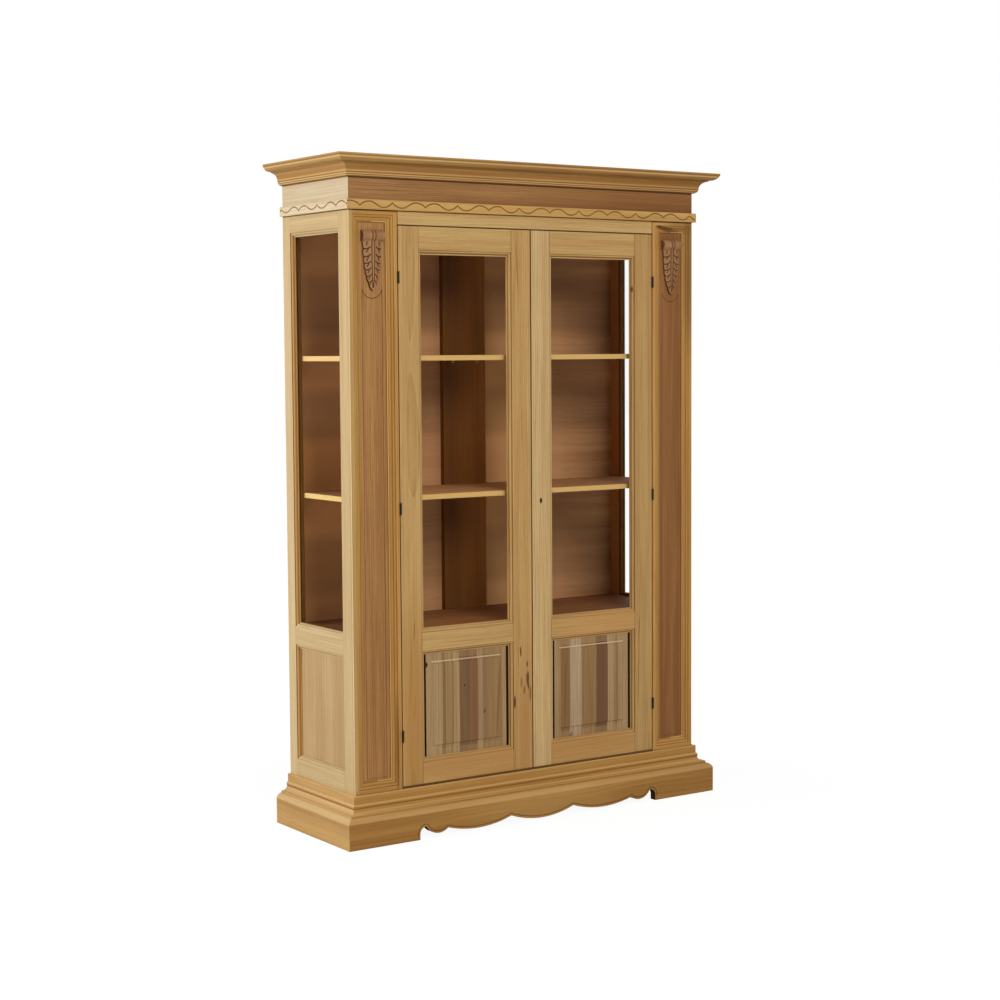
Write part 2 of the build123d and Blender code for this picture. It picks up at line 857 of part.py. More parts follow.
hinges = [hinge(height) for height in hinge_heights]
frame_leaves = [frame_leaf for frame_leaf, door_leaf in hinges]
door_leaves = [door_leaf for frame_leaf, door_leaf in hinges]
save("hinge_frame_leaves", *frame_leaves, *[mirrored(leaf) for leaf in frame_leaves])
save("left_door_hinge_leaves", *door_leaves)
save("right_door_hinge_leaves", *[mirrored(leaf) for leaf in door_leaves])


# Doors, drawn for the left one

door_x = (-door_outer, -door_inner)
door_y = (door_bottom, door_top)
door_holes = [
    (door_bottom + door_bottom_rail, middle_rail_bottom),
    (middle_rail_top, door_top - door_top_rail),
]
door_open_x = (door_x[0] + door_stile, door_x[1] - door_stile)
hinge_stile, meeting_stile, door_rails = frame_members(
    door_x, door_y, (door_stile, door_stile), door_holes, door_thickness
)
door_lip_x, door_lip_y = inset(door_open_x, door_holes[0], edge_width)
door_panel_back = edge_depth + panel_lip + door_panel_edge
panel_depths = (-door_panel_back, -edge_depth - panel_lip)
door_groove = block(
    door_open_x, (door_lip_y[0] - door_panel_groove, door_lip_y[1] + door_panel_groove), panel_depths
)
door_sight_x, door_sight_y = inset(door_open_x, door_holes[1], edge_width)
door_rebate_x, door_rebate_y = inset(door_sight_x, door_sight_y, -rebate_lap)
door_cuts = [
    moulded_hole(door_open_x, door_holes[0], door_thickness + 1, door_edge),
    moulded_hole(door_open_x, door_holes[1], door_thickness + 1, door_edge),
    door_groove,
    block(door_rebate_x, door_rebate_y, (-door_thickness - 1, -glass_depth)),
]
hinge_stile = front_plane * cut_all(hinge_stile, door_cuts)
meeting_stile = front_plane * cut_all(meeting_stile, door_cuts)
door_rails = [front_plane * cut_all(rail, door_cuts) for rail in door_rails]
for height in hinge_heights:
    hinge_stile -= hinge_leaf(door_outer - leaf_thickness, height)


def raised_panel():
    """Panel with a raised field, held in the grooves of two rails and short of the stiles."""
    x = (door_lip_x[0] + door_panel_side_gap, door_lip_x[1] - door_panel_side_gap)
    held = door_panel_groove - door_panel_end_gap
    y = (door_lip_y[0] - held, door_lip_y[1] + held)
    panel = block(x, y, panel_depths)
    foot_x, foot_y = inset(door_lip_x, door_lip_y, field_border)
    top_x, top_y = inset(foot_x, foot_y, field_bevel)
    base = panel_depths[1]
    foot = Pos((foot_x[0] + foot_x[1]) / 2, (foot_y[0] + foot_y[1]) / 2, base) * Rectangle(
        foot_x[1] - foot_x[0], foot_y[1] - foot_y[0]
    )
    top = Pos((top_x[0] + top_x[1]) / 2, (top_y[0] + top_y[1]) / 2, base + field_rise) * Rectangle(
        top_x[1] - top_x[0], top_y[1] - top_y[0]
    )
    return front_plane * (panel + loft([foot, top]))


door_panel = raised_panel()
door_pane_x, door_pane_y = inset(door_rebate_x, door_rebate_y, glass_gap)
door_pane = front_plane * block(door_pane_x, door_pane_y, (-glass_depth - glass_thickness, -glass_depth))
bead_depths = (-door_thickness, -glass_depth - glass_thickness)
door_beads = [front_plane * bead for bead in beads(door_rebate_x, door_rebate_y, bead_depths)]


# Lock in the meeting stile of the right door

lock_y = front + door_thickness / 2
case_y = (lock_y - lock_case_thickness / 2, lock_y + lock_case_thickness / 2)
case_x = (door_inner + face_plate_thickness, door_inner + lock_length)
case_z = (lock_height - lock_tall / 2, lock_height + lock_tall / 2)
case_solid = block(case_x, case_y, case_z)
face_plate = block(
    (door_inner, door_inner + face_plate_thickness),
    (lock_y - face_plate_width / 2, lock_y + face_plate_width / 2),
    (lock_height - face_plate_tall / 2, lock_height + face_plate_tall / 2),
)
key_x = door_inner + keyhole_offset
keyhole_shape = Pos(key_x, lock_height + keyhole_drop / 2) * Circle(keyhole_radius)
keyhole_shape += Pos(key_x, lock_height) * Rectangle(keyhole_slot, keyhole_drop)
keyhole_shape += Pos(key_x, lock_height - keyhole_drop / 2) * Circle(keyhole_slot / 2)
keyhole = extrude(front_plane * keyhole_shape, amount=-lock_case_thickness - (case_y[0] - front) + lock_wall)
cavity = block(
    (case_x[0], case_x[1] - lock_wall),
    (case_y[0] + lock_wall, case_y[1] - lock_wall),
    (case_z[0] + lock_wall, case_z[1] - lock_wall),
)
bolt_y = (case_y[0] + lock_wall + lock_bolt_clearance, case_y[1] - lock_wall - lock_bolt_clearance)
bolt_level = lock_height + lock_tall / 2 - lock_wall - lock_bolt_tall / 2 - lock_bolt_clearance
bolt_z = (bolt_level - lock_bolt_tall / 2, bolt_level + lock_bolt_tall / 2)
bolt_x = (door_inner + lock_bolt_clearance, door_inner + lock_bolt_length)


def grown(limits, amount):
    return (limits[0] - amount, limits[1] + amount)


bolt_slot = block(
    (door_inner - 1, case_x[0] + 1), grown(bolt_y, lock_bolt_clearance), grown(bolt_z, lock_bolt_clearance)
)
save("lock_case", case_solid + face_plate - cavity - bolt_slot - keyhole)
save("lock_bolt", block(bolt_x, bolt_y, bolt_z))
right_meeting_stile = mirrored(meeting_stile) - case_solid - face_plate - keyhole
thrown_tip = bolt_x[0] - lock_throw
left_meeting_stile = meeting_stile - block(
    (thrown_tip - strike_clearance, -door_inner + 1),
    grown(bolt_y, lock_bolt_clearance),
    grown(bolt_z, lock_bolt_clearance),
)


# Slide bolts behind the meeting stile of the left door, shot into the two boards

door_back = front + door_thickness
bar_middle = -door_inner - bar_from_edge
bar_x = (bar_middle - bar_width / 2, bar_middle + bar_width / 2)
bar_y = (door_back + bar_offset, door_back + bar_offset + bar_thickness)
guide_x = (bar_middle - guide_width / 2, bar_middle + guide_width / 2)
knob_x = (bar_middle - bar_thickness / 2, bar_middle + bar_thickness / 2)
bottom_board_top = door_bottom + stop_lap
top_board_bottom = door_top - stop_lap
keeper_depth = bolt_throw - board_clearance + keeper_clearance


def slide_bolt(board_face, way):
    """Bar with its knob, its guide and its hole in the board, for one end of the door."""
    tip = board_face + way * board_clearance
    knob_end = tip + way * (bar_length - knob_inset)
    knob_levels = sorted((knob_end - way * knob_length, knob_end))
    guide_end = tip + way * guide_inset
    guide_levels = sorted((guide_end, guide_end + way * guide_tall))
    bar = block(bar_x, bar_y, sorted((tip, tip + way * bar_length)))
    bar += block(knob_x, (bar_y[0], bar_y[1] + knob_reach), knob_levels)
    slot = block(grown(bar_x, bar_clearance), grown(bar_y, bar_clearance), grown(guide_levels, 1))
    guide = block(guide_x, (door_back, door_back + guide_depth), guide_levels) - slot
    keeper_levels = sorted((board_face + way, board_face - way * keeper_depth))
    keeper = block(grown(bar_x, bar_clearance), grown(bar_y, bar_clearance), keeper_levels)
    return bar, guide, keeper


lower_bar, lower_guide, lower_keeper = slide_bolt(bottom_board_top, 1)
upper_bar, upper_guide, upper_keeper = slide_bolt(top_board_bottom, -1)
save("lower_bolt", lower_bar)
save("upper_bolt", upper_bar)
save("left_door_bolt_guides", lower_guide, upper_guide)
save("bottom_board", bottom_board - lower_keeper)
save("top_board", top_board - upper_keeper)


def save_door(side, members):
    for name, shapes in members.items():
        save(f"{side}_door_{name}", *shapes)


shared = {
    "hinge_stile": [hinge_stile],
    "bottom_rail": [door_rails[0]],
    "middle_rail": [door_rails[1]],
    "top_rail": [door_rails[2]],
    "panel": [door_panel],
    "pane": [door_pane],
    "beads": door_beads,
}
save_door("left", shared | {"meeting_stile": [left_meeting_stile]})
right_shapes = {name: [mirrored(shape) for shape in shapes] for name, shapes in shared.items()}
save_door("right", right_shapes | {"meeting_stile": [right_meeting_stile]})
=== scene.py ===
import math

import bpy
from mathutils import Matrix, Vector


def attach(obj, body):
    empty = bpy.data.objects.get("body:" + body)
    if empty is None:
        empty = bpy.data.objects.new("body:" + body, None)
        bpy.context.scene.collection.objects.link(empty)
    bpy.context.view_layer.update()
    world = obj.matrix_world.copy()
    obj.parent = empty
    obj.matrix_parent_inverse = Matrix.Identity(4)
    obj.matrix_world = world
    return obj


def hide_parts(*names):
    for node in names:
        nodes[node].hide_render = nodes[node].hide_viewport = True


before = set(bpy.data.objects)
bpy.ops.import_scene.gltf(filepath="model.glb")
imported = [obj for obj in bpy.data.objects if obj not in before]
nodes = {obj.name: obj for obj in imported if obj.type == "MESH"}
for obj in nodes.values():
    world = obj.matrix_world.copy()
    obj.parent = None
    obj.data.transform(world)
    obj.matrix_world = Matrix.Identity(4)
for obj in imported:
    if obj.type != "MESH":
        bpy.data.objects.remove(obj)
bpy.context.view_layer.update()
mm = 0.001
print("cabinet frame loaded,", len(nodes), "nodes")


# Camera, at the photograph's place

cameraView = {
    "place": (-3.4774, -5.0865, 1.4358),
    "yaw": 34.3212,  # degrees to the right of straight at the front
    "pitch": 4.2876,  # degrees down
    "roll": -0.3781,
    "lens": 70.98,
    "sensor": 36,
    "end": 100,
}


def turned(degrees, axis):
    return Matrix.Rotation(math.radians(degrees), 4, axis)


def placed(name, data):
    made = bpy.data.objects.new(name, data)
    bpy.context.collection.objects.link(made)
    return made


def setCamera(view):
    camera = placed("camera", bpy.data.cameras.new("camera"))
    camera.data.lens = view["lens"]
    camera.data.sensor_width = view["sensor"]
    camera.data.clip_end = view["end"]
    heading = Matrix.Translation(view["place"]) @ turned(-view["yaw"], "Z")
    camera.matrix_world = heading @ turned(90 - view["pitch"], "X") @ turned(view["roll"], "Z")
    bpy.context.scene.camera = camera


setCamera(cameraView)
bpy.context.scene.view_settings.view_transform = "Standard"
print("camera set")


# Shader maths: a wire is one socket, and expressions on wires add the nodes


def operator(operation, reflected=False):
    def apply(wire, other=0.0):
        pair = (other, wire) if reflected else (wire, other)
        return wire.graph.node("Math", {"operation": operation}, dict(enumerate(pair)))

    return apply


class Wire:
    def __init__(self, graph, socket):
        self.graph = graph
        self.socket = socket

    __add__, __radd__ = operator("ADD"), operator("ADD", reflected=True)
    __sub__, __rsub__ = operator("SUBTRACT"), operator("SUBTRACT", reflected=True)
    __mul__, __rmul__ = operator("MULTIPLY"), operator("MULTIPLY", reflected=True)
    __truediv__, __rtruediv__ = operator("DIVIDE"), operator("DIVIDE", reflected=True)
    __pow__, __rpow__ = operator("POWER"), operator("POWER", reflected=True)
    __lt__, __gt__ = operator("LESS_THAN"), operator("GREATER_THAN")
    __abs__, root, part = operator("ABSOLUTE"), operator("SQRT"), operator("FRACT")
    smaller, larger = operator("MINIMUM"), operator("MAXIMUM")

    def step(self, low, high):  # soft step from 0 at low to 1 at high
        return self.graph.node(
            "MapRange",
            {"interpolation_type": "SMOOTHSTEP"},
            {"Value": self, "From Min": low, "From Max": high},
        )


class Graph:  # the nodes of a material or of the world
    def __init__(self, owner):
        self.owner = owner
        owner.use_nodes = True
        self.tree = owner.node_tree
        self.tree.nodes.clear()

    def node(self, kind, settings=None, sockets=None, output=0):
        made = self.tree.nodes.new("ShaderNode" + kind)
        for key, value in (settings or {}).items():
            if key == "stops":
                ramp = made.color_ramp.elements
                while len(ramp) < len(value):
                    ramp.new(1.0)
                for stop, (where, colour) in zip(ramp, value):
                    stop.position = where
                    stop.color = colour
            elif key == "blend":
                made.color_ramp.interpolation = value
            else:
                setattr(made, key, value)
        for key, value in (sockets or {}).items():
            if isinstance(value, Wire):
                self.tree.links.new(value.socket, made.inputs[key])
            elif value is not None:
                made.inputs[key].default_value = value
        return Wire(self, made.outputs[output])

    def objectPlace(self):
        return self.node("TexCoord", output="Object")

    def split(self, vector):
        made = self.node("SeparateXYZ", None, {0: vector}).socket.node
        return [Wire(self, made.outputs[i]) for i in range(3)]

    def join(self, x, y, z):
        return self.node("CombineXYZ", None, {0: x, 1: y, 2: z})

    def stretch(self, vector, size):
        return self.node("VectorMath", {"operation": "MULTIPLY"}, {0: vector, 1: size})

    def noise(self, vector, detail):
        return self.node("TexNoise", None, {"Vector": vector, "Scale": 1.0, "Detail": detail})

    def mixVector(self, factor, first, second):
        return self.node("Mix", {"data_type": "VECTOR"}, {0: factor, 4: first, 5: second}, 1)

    def mix(self, factor, first, second):
        return self.node("Mix", {"data_type": "RGBA"}, {0: factor, 6: first, 7: second}, 2)

    def rays(self, *kinds):
        path = self.node("LightPath").socket.node
        return [Wire(self, path.outputs["Is " + kind + " Ray"]) for kind in kinds]

    def finish(self, shader, kind="OutputMaterial"):
        output = self.tree.nodes.new("ShaderNode" + kind)
        self.tree.links.new(shader.socket, output.inputs[0])
        return self.owner


def tone(red, green, blue):  # a colour as it is seen, 0 to 255, for a shader
    def linear(value):
        value = value / 255
        return value / 12.92 if value < 0.04045 else ((value + 0.055) / 1.055) ** 2.4

    return (linear(red), linear(green), linear(blue), 1.0)


# Wood: fibres, year rings, streaks, pores, marks where the real boards have them, and painted light and
# shade

woodLook = {  # of every board, unless its own entry says otherwise
    "drift": (6, 6, 1.6),  # size of each noise, twice across the grain and then along it
    "fibre": (420, 420, 7),
    "strand": (150, 150, 2.4),
    "streak": (34, 34, 0.9),
    "blush": (70, 70, 2.2),
    "cloud": (5, 5, 2),
    "pore": (1300, 1300, 42),
    "fibreStep": (0.35, 0.75),  # where each begins and ends to turn darker
    "strandStep": (0.44, 0.64),
    "streakStep": (0.3, 0.7),
    "blushStep": (0.45, 0.7),
    "cloudStep": (0.4, 0.7),
    "poreStep": (0.66, 0.78),
    "bend": 0.024,
    "rough": (0.5, 0.2, 0.1),  # everywhere, and more in fibres and in rings
    "high": (0.6, 0.25, 0.8),  # fibres and rings, and how deep the pores are
    "bump": 0.35,
    "relief": 0.00022,
    "gloss": 0.16,
    "grain": "z",
    "shift": (0, 0, 0),
    "heart": (0.0, 0.35),
    "ringWidth": 0.0055,
    "ringSharp": 3,
    "ringDrift": 2.0,
    "wander": 0.022,
    "rings": 0.22,
    "fibres": 0.2,
    "strands": 0.2,
    "pores": 0.25,
    "clouds": 0.12,
    "blushShare": 0.35,
    "turn": (-0.01, 0.01),  # where the palette of the right side takes over
    "marks": [],
    "jointAndLightLines": [],
    "paintedShade": [],
}
# dark tone of joints and of painted shade along edges
jointAndShadeTone = tone(112, 66, 18)


def stripe(across, at, strength=0.6, width=0.0015, colour=jointAndShadeTone, inside=None):  # a fine soft line, for joints and for painted shade and painted highlights
    place = {"across": across, "at": at, "width": width, "inside": inside}
    return {**place, "colour": colour, "strength": strength}


def stripes(across, *rows):
    return [stripe(across, *row) for row in rows]


def spot(at, size, colour, strength=1.0, core=0.45, ragged=0.8, lean=0.0):  # a knot or a streak, and also a painted pool of light or painted shade
    place = {"at": at, "size": size, "lean": lean}
    return {**place, "colour": colour, "strength": strength, "core": core, "ragged": ragged}


def shadeBox(colour, strength=1.0, **box):  # painted shade on the part of a board that lies in a box
    return {"box": box, "colour": colour, "strength": strength}


def shades(pale, deep, rosy, line):
    return {"pale": tone(*pale), "deep": tone(*deep), "rosy": tone(*rosy), "line": tone(*line)}


def frameEdges(member, x, y, z):  # how far a place is from a mitred frame's outer edges
    side = abs(x) if member["across"] == "x" else y
    fromSides = (side - member["low"]).smaller(member["high"] - side)
    fromEnds = (z - member["bottom"]).smaller(member["top"] - z)
    return fromSides, fromEnds


def grainVector(g, grain, place):
    x, y, z = g.split(place)
    upright = g.join(x, y, z)
    if grain == "z":
        return upright
    if grain == "x":
        return g.join(z, y, x)
    if grain == "y":
        return g.join(z, x, y)
    fromSides, fromEnds = frameEdges(grain, x, y, z)  # the members meet at 45 degrees
    flat = g.join(z, y, x) if grain["across"] == "x" else g.join(z, x, y)
    return g.mixVector(fromEnds < fromSides, upright, flat)


def boxMask(box, x, y, z):  # 1 inside a box; "both" is x on either side of the middle
    mask = 1.0
    for axis, (low, high) in box.items():
        value = {"x": x, "both": abs(x), "y": y, "z": z}[axis]
        mask = (value > low) * (value < high) * mask
    return mask


# where a stripe lies: joints, painted shade and painted highlights
def stripeMask(look, stroke, x, y, z):
    if stroke["across"] == "edge":
        fromSides, fromEnds = frameEdges(look["grain"], x, y, z)
        value = fromSides.smaller(fromEnds)
    else:
        value = {"x": x, "both": abs(x), "y": y, "z": z}[stroke["across"]]
    near = 1.0 - abs(value - stroke["at"]).step(stroke["width"] * 0.5, stroke["width"])
    if stroke["inside"]:
        near = near * boxMask(stroke["inside"], x, y, z)
    return near * stroke["strength"]


def woodMaterial(name, own):
    look = {**woodLook, **own}
    g = Graph(bpy.data.materials.new(name))
    place = g.objectPlace()
    x, y, z = g.split(place)
    along = grainVector(g, look["grain"], place)
    shifted = g.node("VectorMath", {"operation": "ADD"}, {0: along, 1: look["shift"]})
    drift = g.noise(g.stretch(shifted, look["drift"]), 1.0)
    u, v, w = g.split(shifted)
    wander = (drift - 0.5) * look["wander"]
    reach = ((u - look["heart"][0] + wander) ** 2 + (v - look["heart"][1]) ** 2).root()
    ring = (reach / look["ringWidth"] + drift * look["ringDrift"]).part() ** look["ringSharp"]
    bent = g.join(u + (drift - 0.5) * look["bend"], v, w)
    fibre = g.noise(g.stretch(bent, look["fibre"]), 2.0)
    strand = g.noise(g.stretch(bent, look["strand"]), 2.0)
    streak = g.noise(g.stretch(bent, look["streak"]), 2.0)
    blush = g.noise(g.stretch(bent, look["blush"]), 1.0)
    cloud = g.noise(g.stretch(shifted, look["cloud"]), 1.0)
    pores = g.noise(g.stretch(shifted, look["pore"]), 0.0).step(*look["poreStep"])

    def boards(wood):  # pale and deep streaks of one wood
        return g.mix(streak.step(*look["streakStep"]), wood["pale"], wood["deep"])

    base = staveColour(g, look["staves"], x, z, drift, streak) if "staves" in look else boards(look)
    if "right" in look:  # the right side takes a second palette: on the front partly another board and partly painted shade, on the back boards painted light
        base = g.mix(x.step(*look["turn"]), base, boards(look["right"]))
    base = g.mix(blush.step(*look["blushStep"]) * look["blushShare"], base, look["rosy"])
    dark = ring * look["rings"] + fibre.step(*look["fibreStep"]) * look["fibres"]
    dark = dark + strand.step(*look["strandStep"]) * look["strands"]
    dark = dark + pores * look["pores"] + cloud.step(*look["cloudStep"]) * look["clouds"]
    base = g.mix(dark, base, look["line"])
    if "front" in look:  # the solid wooden lip of a board
        base = g.mix(y < look["front"][0], base, look["front"][1])
        base = g.mix(abs(x) > look["ends"][0], base, look["ends"][1])
    for mark in look["marks"]:
        base = g.mix(markMask(mark, x, z, fibre), base, mark["colour"])
    for stroke in look["jointAndLightLines"]:
        base = g.mix(stripeMask(look, stroke, x, y, z), base, stroke["colour"])
    if "outer" in look:  # the back face, which is in plain light
        where, wood = look["outer"]
        base = g.mix(y > where, base, g.mix(dark, boards(wood), wood["line"]))
    for shadow in look["paintedShade"]:  # walls deep in a gap, where no light falls
        base = g.mix(boxMask(shadow["box"], x, y, z) * shadow["strength"], base, shadow["colour"])
    fibresHigh, ringsHigh, poresDeep = look["high"]
    height = fibre * fibresHigh + ring * ringsHigh - pores * poresDeep
    rough, fibresRough, ringsRough = look["rough"]
    relief = {"Strength": look["bump"], "Distance": look["relief"], "Height": height}
    finish = {
        "Base Color": base,
        "Roughness": rough + fibresRough * fibre + ringsRough * ring,
        "Normal": g.node("Bump", None, relief),
        "Specular IOR Level": look["gloss"],
    }
    return g.finish(g.node("BsdfPrincipled", None, finish))


def markMask(mark, x, z, fibre):
    up = z - mark["at"][1]
    du = (x - mark["at"][0] - up * mark["lean"]) / mark["size"][0]
    dv = up / mark["size"][1]
    far = (du * du + dv * dv).root() + (fibre - 0.5) * mark["ragged"]
    return (1.0 - far.step(mark["core"], 1.1)) * mark["strength"]


def staveColour(g, staves, x, z, drift, streak):  # glued boards, with a flat border round the field
    low, high = staves["span"]
    where = (x + (drift - 0.5) * staveLook["wobble"] - low) / (high - low)
    stops = [((start - low) / (high - low), tone(*colour)) for start, *colour in staves["boards"]]
    boards = g.node("ValToRGB", {"blend": "CONSTANT", "stops": stops}, {0: where})
    boards = g.mix(streak.step(*staveLook["step"]) * staveLook["streaks"], boards, staves["streak"])
    x0, x1, z0, z1 = staves["field"]
    inside = (x - x0).smaller(x1 - x).smaller(z - z0).smaller(z1 - z)
    border, blur = staveLook["border"], staveLook["blur"]
    flat = 1.0 - inside.step(border - blur, border + blur)
    return g.mix(flat * staveLook["flat"], boards, staves["edge"])


def tinted(wood, red, green, blue):  # the same wood in another light tone, a share for each colour
    return {key: (c[0] * red, c[1] * green, c[2] * blue, 1.0) for key, c in wood.items()}


print("wood shader ready")


# pale, deep, rosy and line tones of each wood
golden = shades((191, 158, 102), (182, 145, 91), (187, 145, 99), (143, 102, 55))
cream = shades((199, 176, 133), (187, 162, 116), (195, 164, 125), (162, 131, 88))
base = shades((168, 127, 70), (151, 108, 53), (162, 113, 61), (111, 72, 33))
reddish = shades((167, 126, 79), (150, 106, 65), (156, 108, 74), (109, 70, 39))
plywood = shades((188, 138, 91), (170, 120, 75), (179, 126, 83), (142, 94, 56))
honey = shades((196, 158, 104), (179, 139, 87), (192, 147, 98), (136, 97, 54))
tawny = shades((189, 148, 87), (171, 126, 67), (183, 133, 76), (126, 85, 42))
shadedRed = shades((149, 106, 63), (134, 88, 51), (139, 90, 60), (97, 58, 30))
milky = shades((209, 192, 160), (196, 177, 140), (205, 179, 149), (169, 143, 107))
ashen = shades((204, 176, 124), (194, 162, 110), (200, 162, 120), (154, 115, 68))
pinkish = shades((193, 164, 119), (180, 150, 105), (191, 154, 115), (150, 115, 75))
# darker tones for the cuts: painted shade
grooveShade = shades((136, 98, 44), (120, 84, 36), (126, 84, 38), (84, 54, 22))

pilasterFrame = {"across": "x", "low": 0.4725, "high": 0.635, "bottom": 0.148, "top": 1.847}
doorBead = {"across": "x", "low": 0.0745, "high": 0.398, "bottom": 0.6115, "top": 1.7315}
sideBead = {"across": "y", "low": -0.102, "high": 0.181, "bottom": 0.6115, "top": 1.792}

staveLook = {
    "wobble": 0.004, "streaks": 0.26, "step": (0.38, 0.66), "border": 0.026, "blur": 0.0005, "flat": 0.3
}
leftStaves = {
    "span": (-0.400, -0.070),
    "streak": tone(100, 69, 40),
    "field": (-0.383, -0.0895, 0.2245, 0.5475),
    "edge": tone(170, 142, 99),
    "boards": [  # where each starts, and its colour
        (-0.4, 172, 143, 102), (-0.326, 134, 101, 63), (-0.314, 166, 136, 93),
        (-0.292, 144, 112, 74), (-0.286, 168, 138, 96), (-0.2645, 115, 86, 53),
        (-0.238, 108, 81, 56), (-0.228, 122, 84, 54), (-0.198, 164, 136, 99),
        (-0.1786, 142, 109, 70), (-0.165, 151, 118, 78), (-0.105, 170, 140, 97),
    ],
}
rightStaves = {
    "span": (0.07, 0.4),
    "streak": tone(107, 76, 47),
    "field": (0.0895, 0.383, 0.2245, 0.5475),
    "edge": tone(183, 156, 113),
    "boards": [
        (0.07, 157, 125, 82), (0.113, 130, 98, 59), (0.149, 183, 157, 123),
        (0.195, 146, 114, 73), (0.253, 103, 70, 48), (0.297, 173, 146, 107),
        (0.318, 163, 134, 92), (0.33, 149, 119, 80), (0.338, 169, 140, 99),
    ],
}

# painted shade: a line along the gaps, and a darker tone for the gaps' walls
gapShadeLine, gapShadeTone = tone(74, 36, 4), tone(58, 26, 2)
# painted shade along the gaps round the doors
doorGapShade = [
    stripe("both", 0.472, 0.8, 0.0022, gapShadeLine),
    stripe("both", 0.0, 0.75, 0.0026, gapShadeLine),
    stripe("z", 1.8055, 0.85, 0.003, gapShadeLine),
]
gapDepth = (-0.1642, -0.1605)
# painted shade on the walls of the gaps and on the ledge under the doors
gapWallShade = [
    shadeBox(gapShadeTone, both=(0.0, 0.0017), y=gapDepth),
    shadeBox(gapShadeTone, both=(0.4705, 0.473), y=gapDepth),
    shadeBox(gapShadeTone, z=(1.804, 1.8065), y=gapDepth),
    shadeBox(gapShadeTone, z=(0.147, 0.149), y=(-0.1662, 0.0)),
]
doorJoints = [stripe("both", at, 0.65) for at in (0.401, 0.0715)]
openings = {"z": (0.2195, 1.7345)}
# joints, painted shade along the gaps, and painted shade along the lips of the moulding round the glass
stileJointsAndShade = doorGapShade + doorJoints + [stripe("both", at, 0.5, inside=openings) for at in (0.3930, 0.0795)]
# joints, painted shade along the gaps, and painted shade along the rail mouldings
railJointsAndShade = doorGapShade + doorJoints + stripes(
    "z",
    (1.7345, 0.45),
    (1.728, 0.65, 0.0024),
    (0.5525, 0.45),
    (0.546, 0.65, 0.0024),
    (0.6085, 0.2),
    (0.2195, 0.2),
)
# painted shade along the door gaps, and a painted shadow under the strip
frontGapShade = [
    stripe("both", 0.472, 0.75, 0.0022, gapShadeLine),
    stripe("z", 1.8055, 0.85, 0.003, gapShadeLine),
    stripe("z", 1.847, 0.8, 0.0034, gapShadeLine),
    stripe("z", 0.151, 0.9, 0.0026, gapShadeLine),
]
# painted shade in the gap at the doors, a painted shadow under the strip, painted shade along the moulding's
# edges with an amber band among them, and a paler stripe on the left pilaster's outer member
pilasterLines = [
    stripe("both", 0.472, 0.85, 0.0026, gapShadeLine),
    stripe("z", 1.847, 0.95, 0.0044, tone(52, 24, 2)),
    stripe("edge", 0.0255, 0.3, 0.01, tone(146, 104, 36)),
    stripe("edge", 0.014, 0.5),
    stripe("edge", 0.0215, 0.3),
    stripe("edge", 0.0305, 0.4),
    stripe("x", -0.629, 0.45, 0.01, tone(168, 146, 98)),
]
for low in (-0.635, 0.4725):  # the inner lip is in shade on the left of each panel, and lit on its right
    shaded, lit = {"x": (low, low + 0.081)}, {"x": (low + 0.081, low + 0.1625)}
    pilasterLines.append(stripe("edge", 0.0335, 0.4, 0.0030, inside=shaded))
    pilasterLines.append(stripe("edge", 0.0335, 0.45, 0.0018, tone(214, 168, 102), lit))
# painted shade along the right and top borders of the sunk pilaster panels
panelShadeLines = [
    stripe("x", -0.5075, width=0.0022, colour=gapShadeLine),
    stripe("x", 0.6, width=0.0022, colour=gapShadeLine),
    stripe("z", 1.812, width=0.0028, colour=gapShadeLine),
]
# painted shadow under the strip
sideTopShadow = stripe("z", 1.847, 0.9, 0.004, tone(96, 56, 10))
# a joint line, a painted highlight along the front corner with a darker line beside it, a paler band near
# the back, and painted shade along the back stile's window moulding
sideStileLines = stripes(
    "y",
    (-0.105, 0.3),
    (-0.1645, 0.6, 0.003, tone(238, 208, 160)),
    (-0.156, 0.35),
    (0.208, 0.12, 0.044, tone(236, 216, 180)),
    (0.183, 0.7, 0.0018),
    (0.1765, 0.6, 0.0018),
) + [sideTopShadow]
# joint lines at the stiles, painted shade along the rail mouldings, and the painted shadow under the strip
sideRailLines = stripes("y", (-0.105, 0.3), (0.184, 0.3))
sideRailLines += stripes("z", (1.795, 0.35), (0.5525, 0.35), (0.546, 0.5, 0.002)) + [sideTopShadow]
# painted shade on the back stile's window moulding and on the side frames' inner faces
sideShade = [
    shadeBox(tone(166, 116, 48), 0.7, y=(0.169, 0.1835), both=(0.6075, 0.6349)),
    shadeBox(tone(186, 114, 22), 0.8, both=(0.0, 0.6075)),
]
# painted highlights and painted shade along the base moulding
baseLightAndShade = stripes(
    "z",
    (0.1475, 0.5, 0.0018, tone(222, 182, 120)),
    (0.122, 0.4, 0.0034, tone(222, 182, 120)),
    (0.113, 0.7, 0.0024, tone(122, 74, 18)),
    (0.1, 0.45, 0.0046, tone(222, 178, 112)),
)
sideBaseLightAndShade = [
    baseLightAndShade[0],
    stripe("z", 0.122, 0.3, 0.0034, tone(232, 196, 138)),
    stripe("z", 0.113, 0.75, 0.0026, tone(126, 74, 8)),
    stripe("z", 0.103, 0.25, 0.0075, tone(242, 208, 152)),
]
# painted highlight on the plinth's top bevel, which faces the light
bevelHighlight = [stripe("z", 0.0845, 0.45, 0.011, tone(214, 172, 112))]
sideBevelHighlight = [stripe("z", 0.0845, 0.35, 0.011, tone(222, 196, 150))]
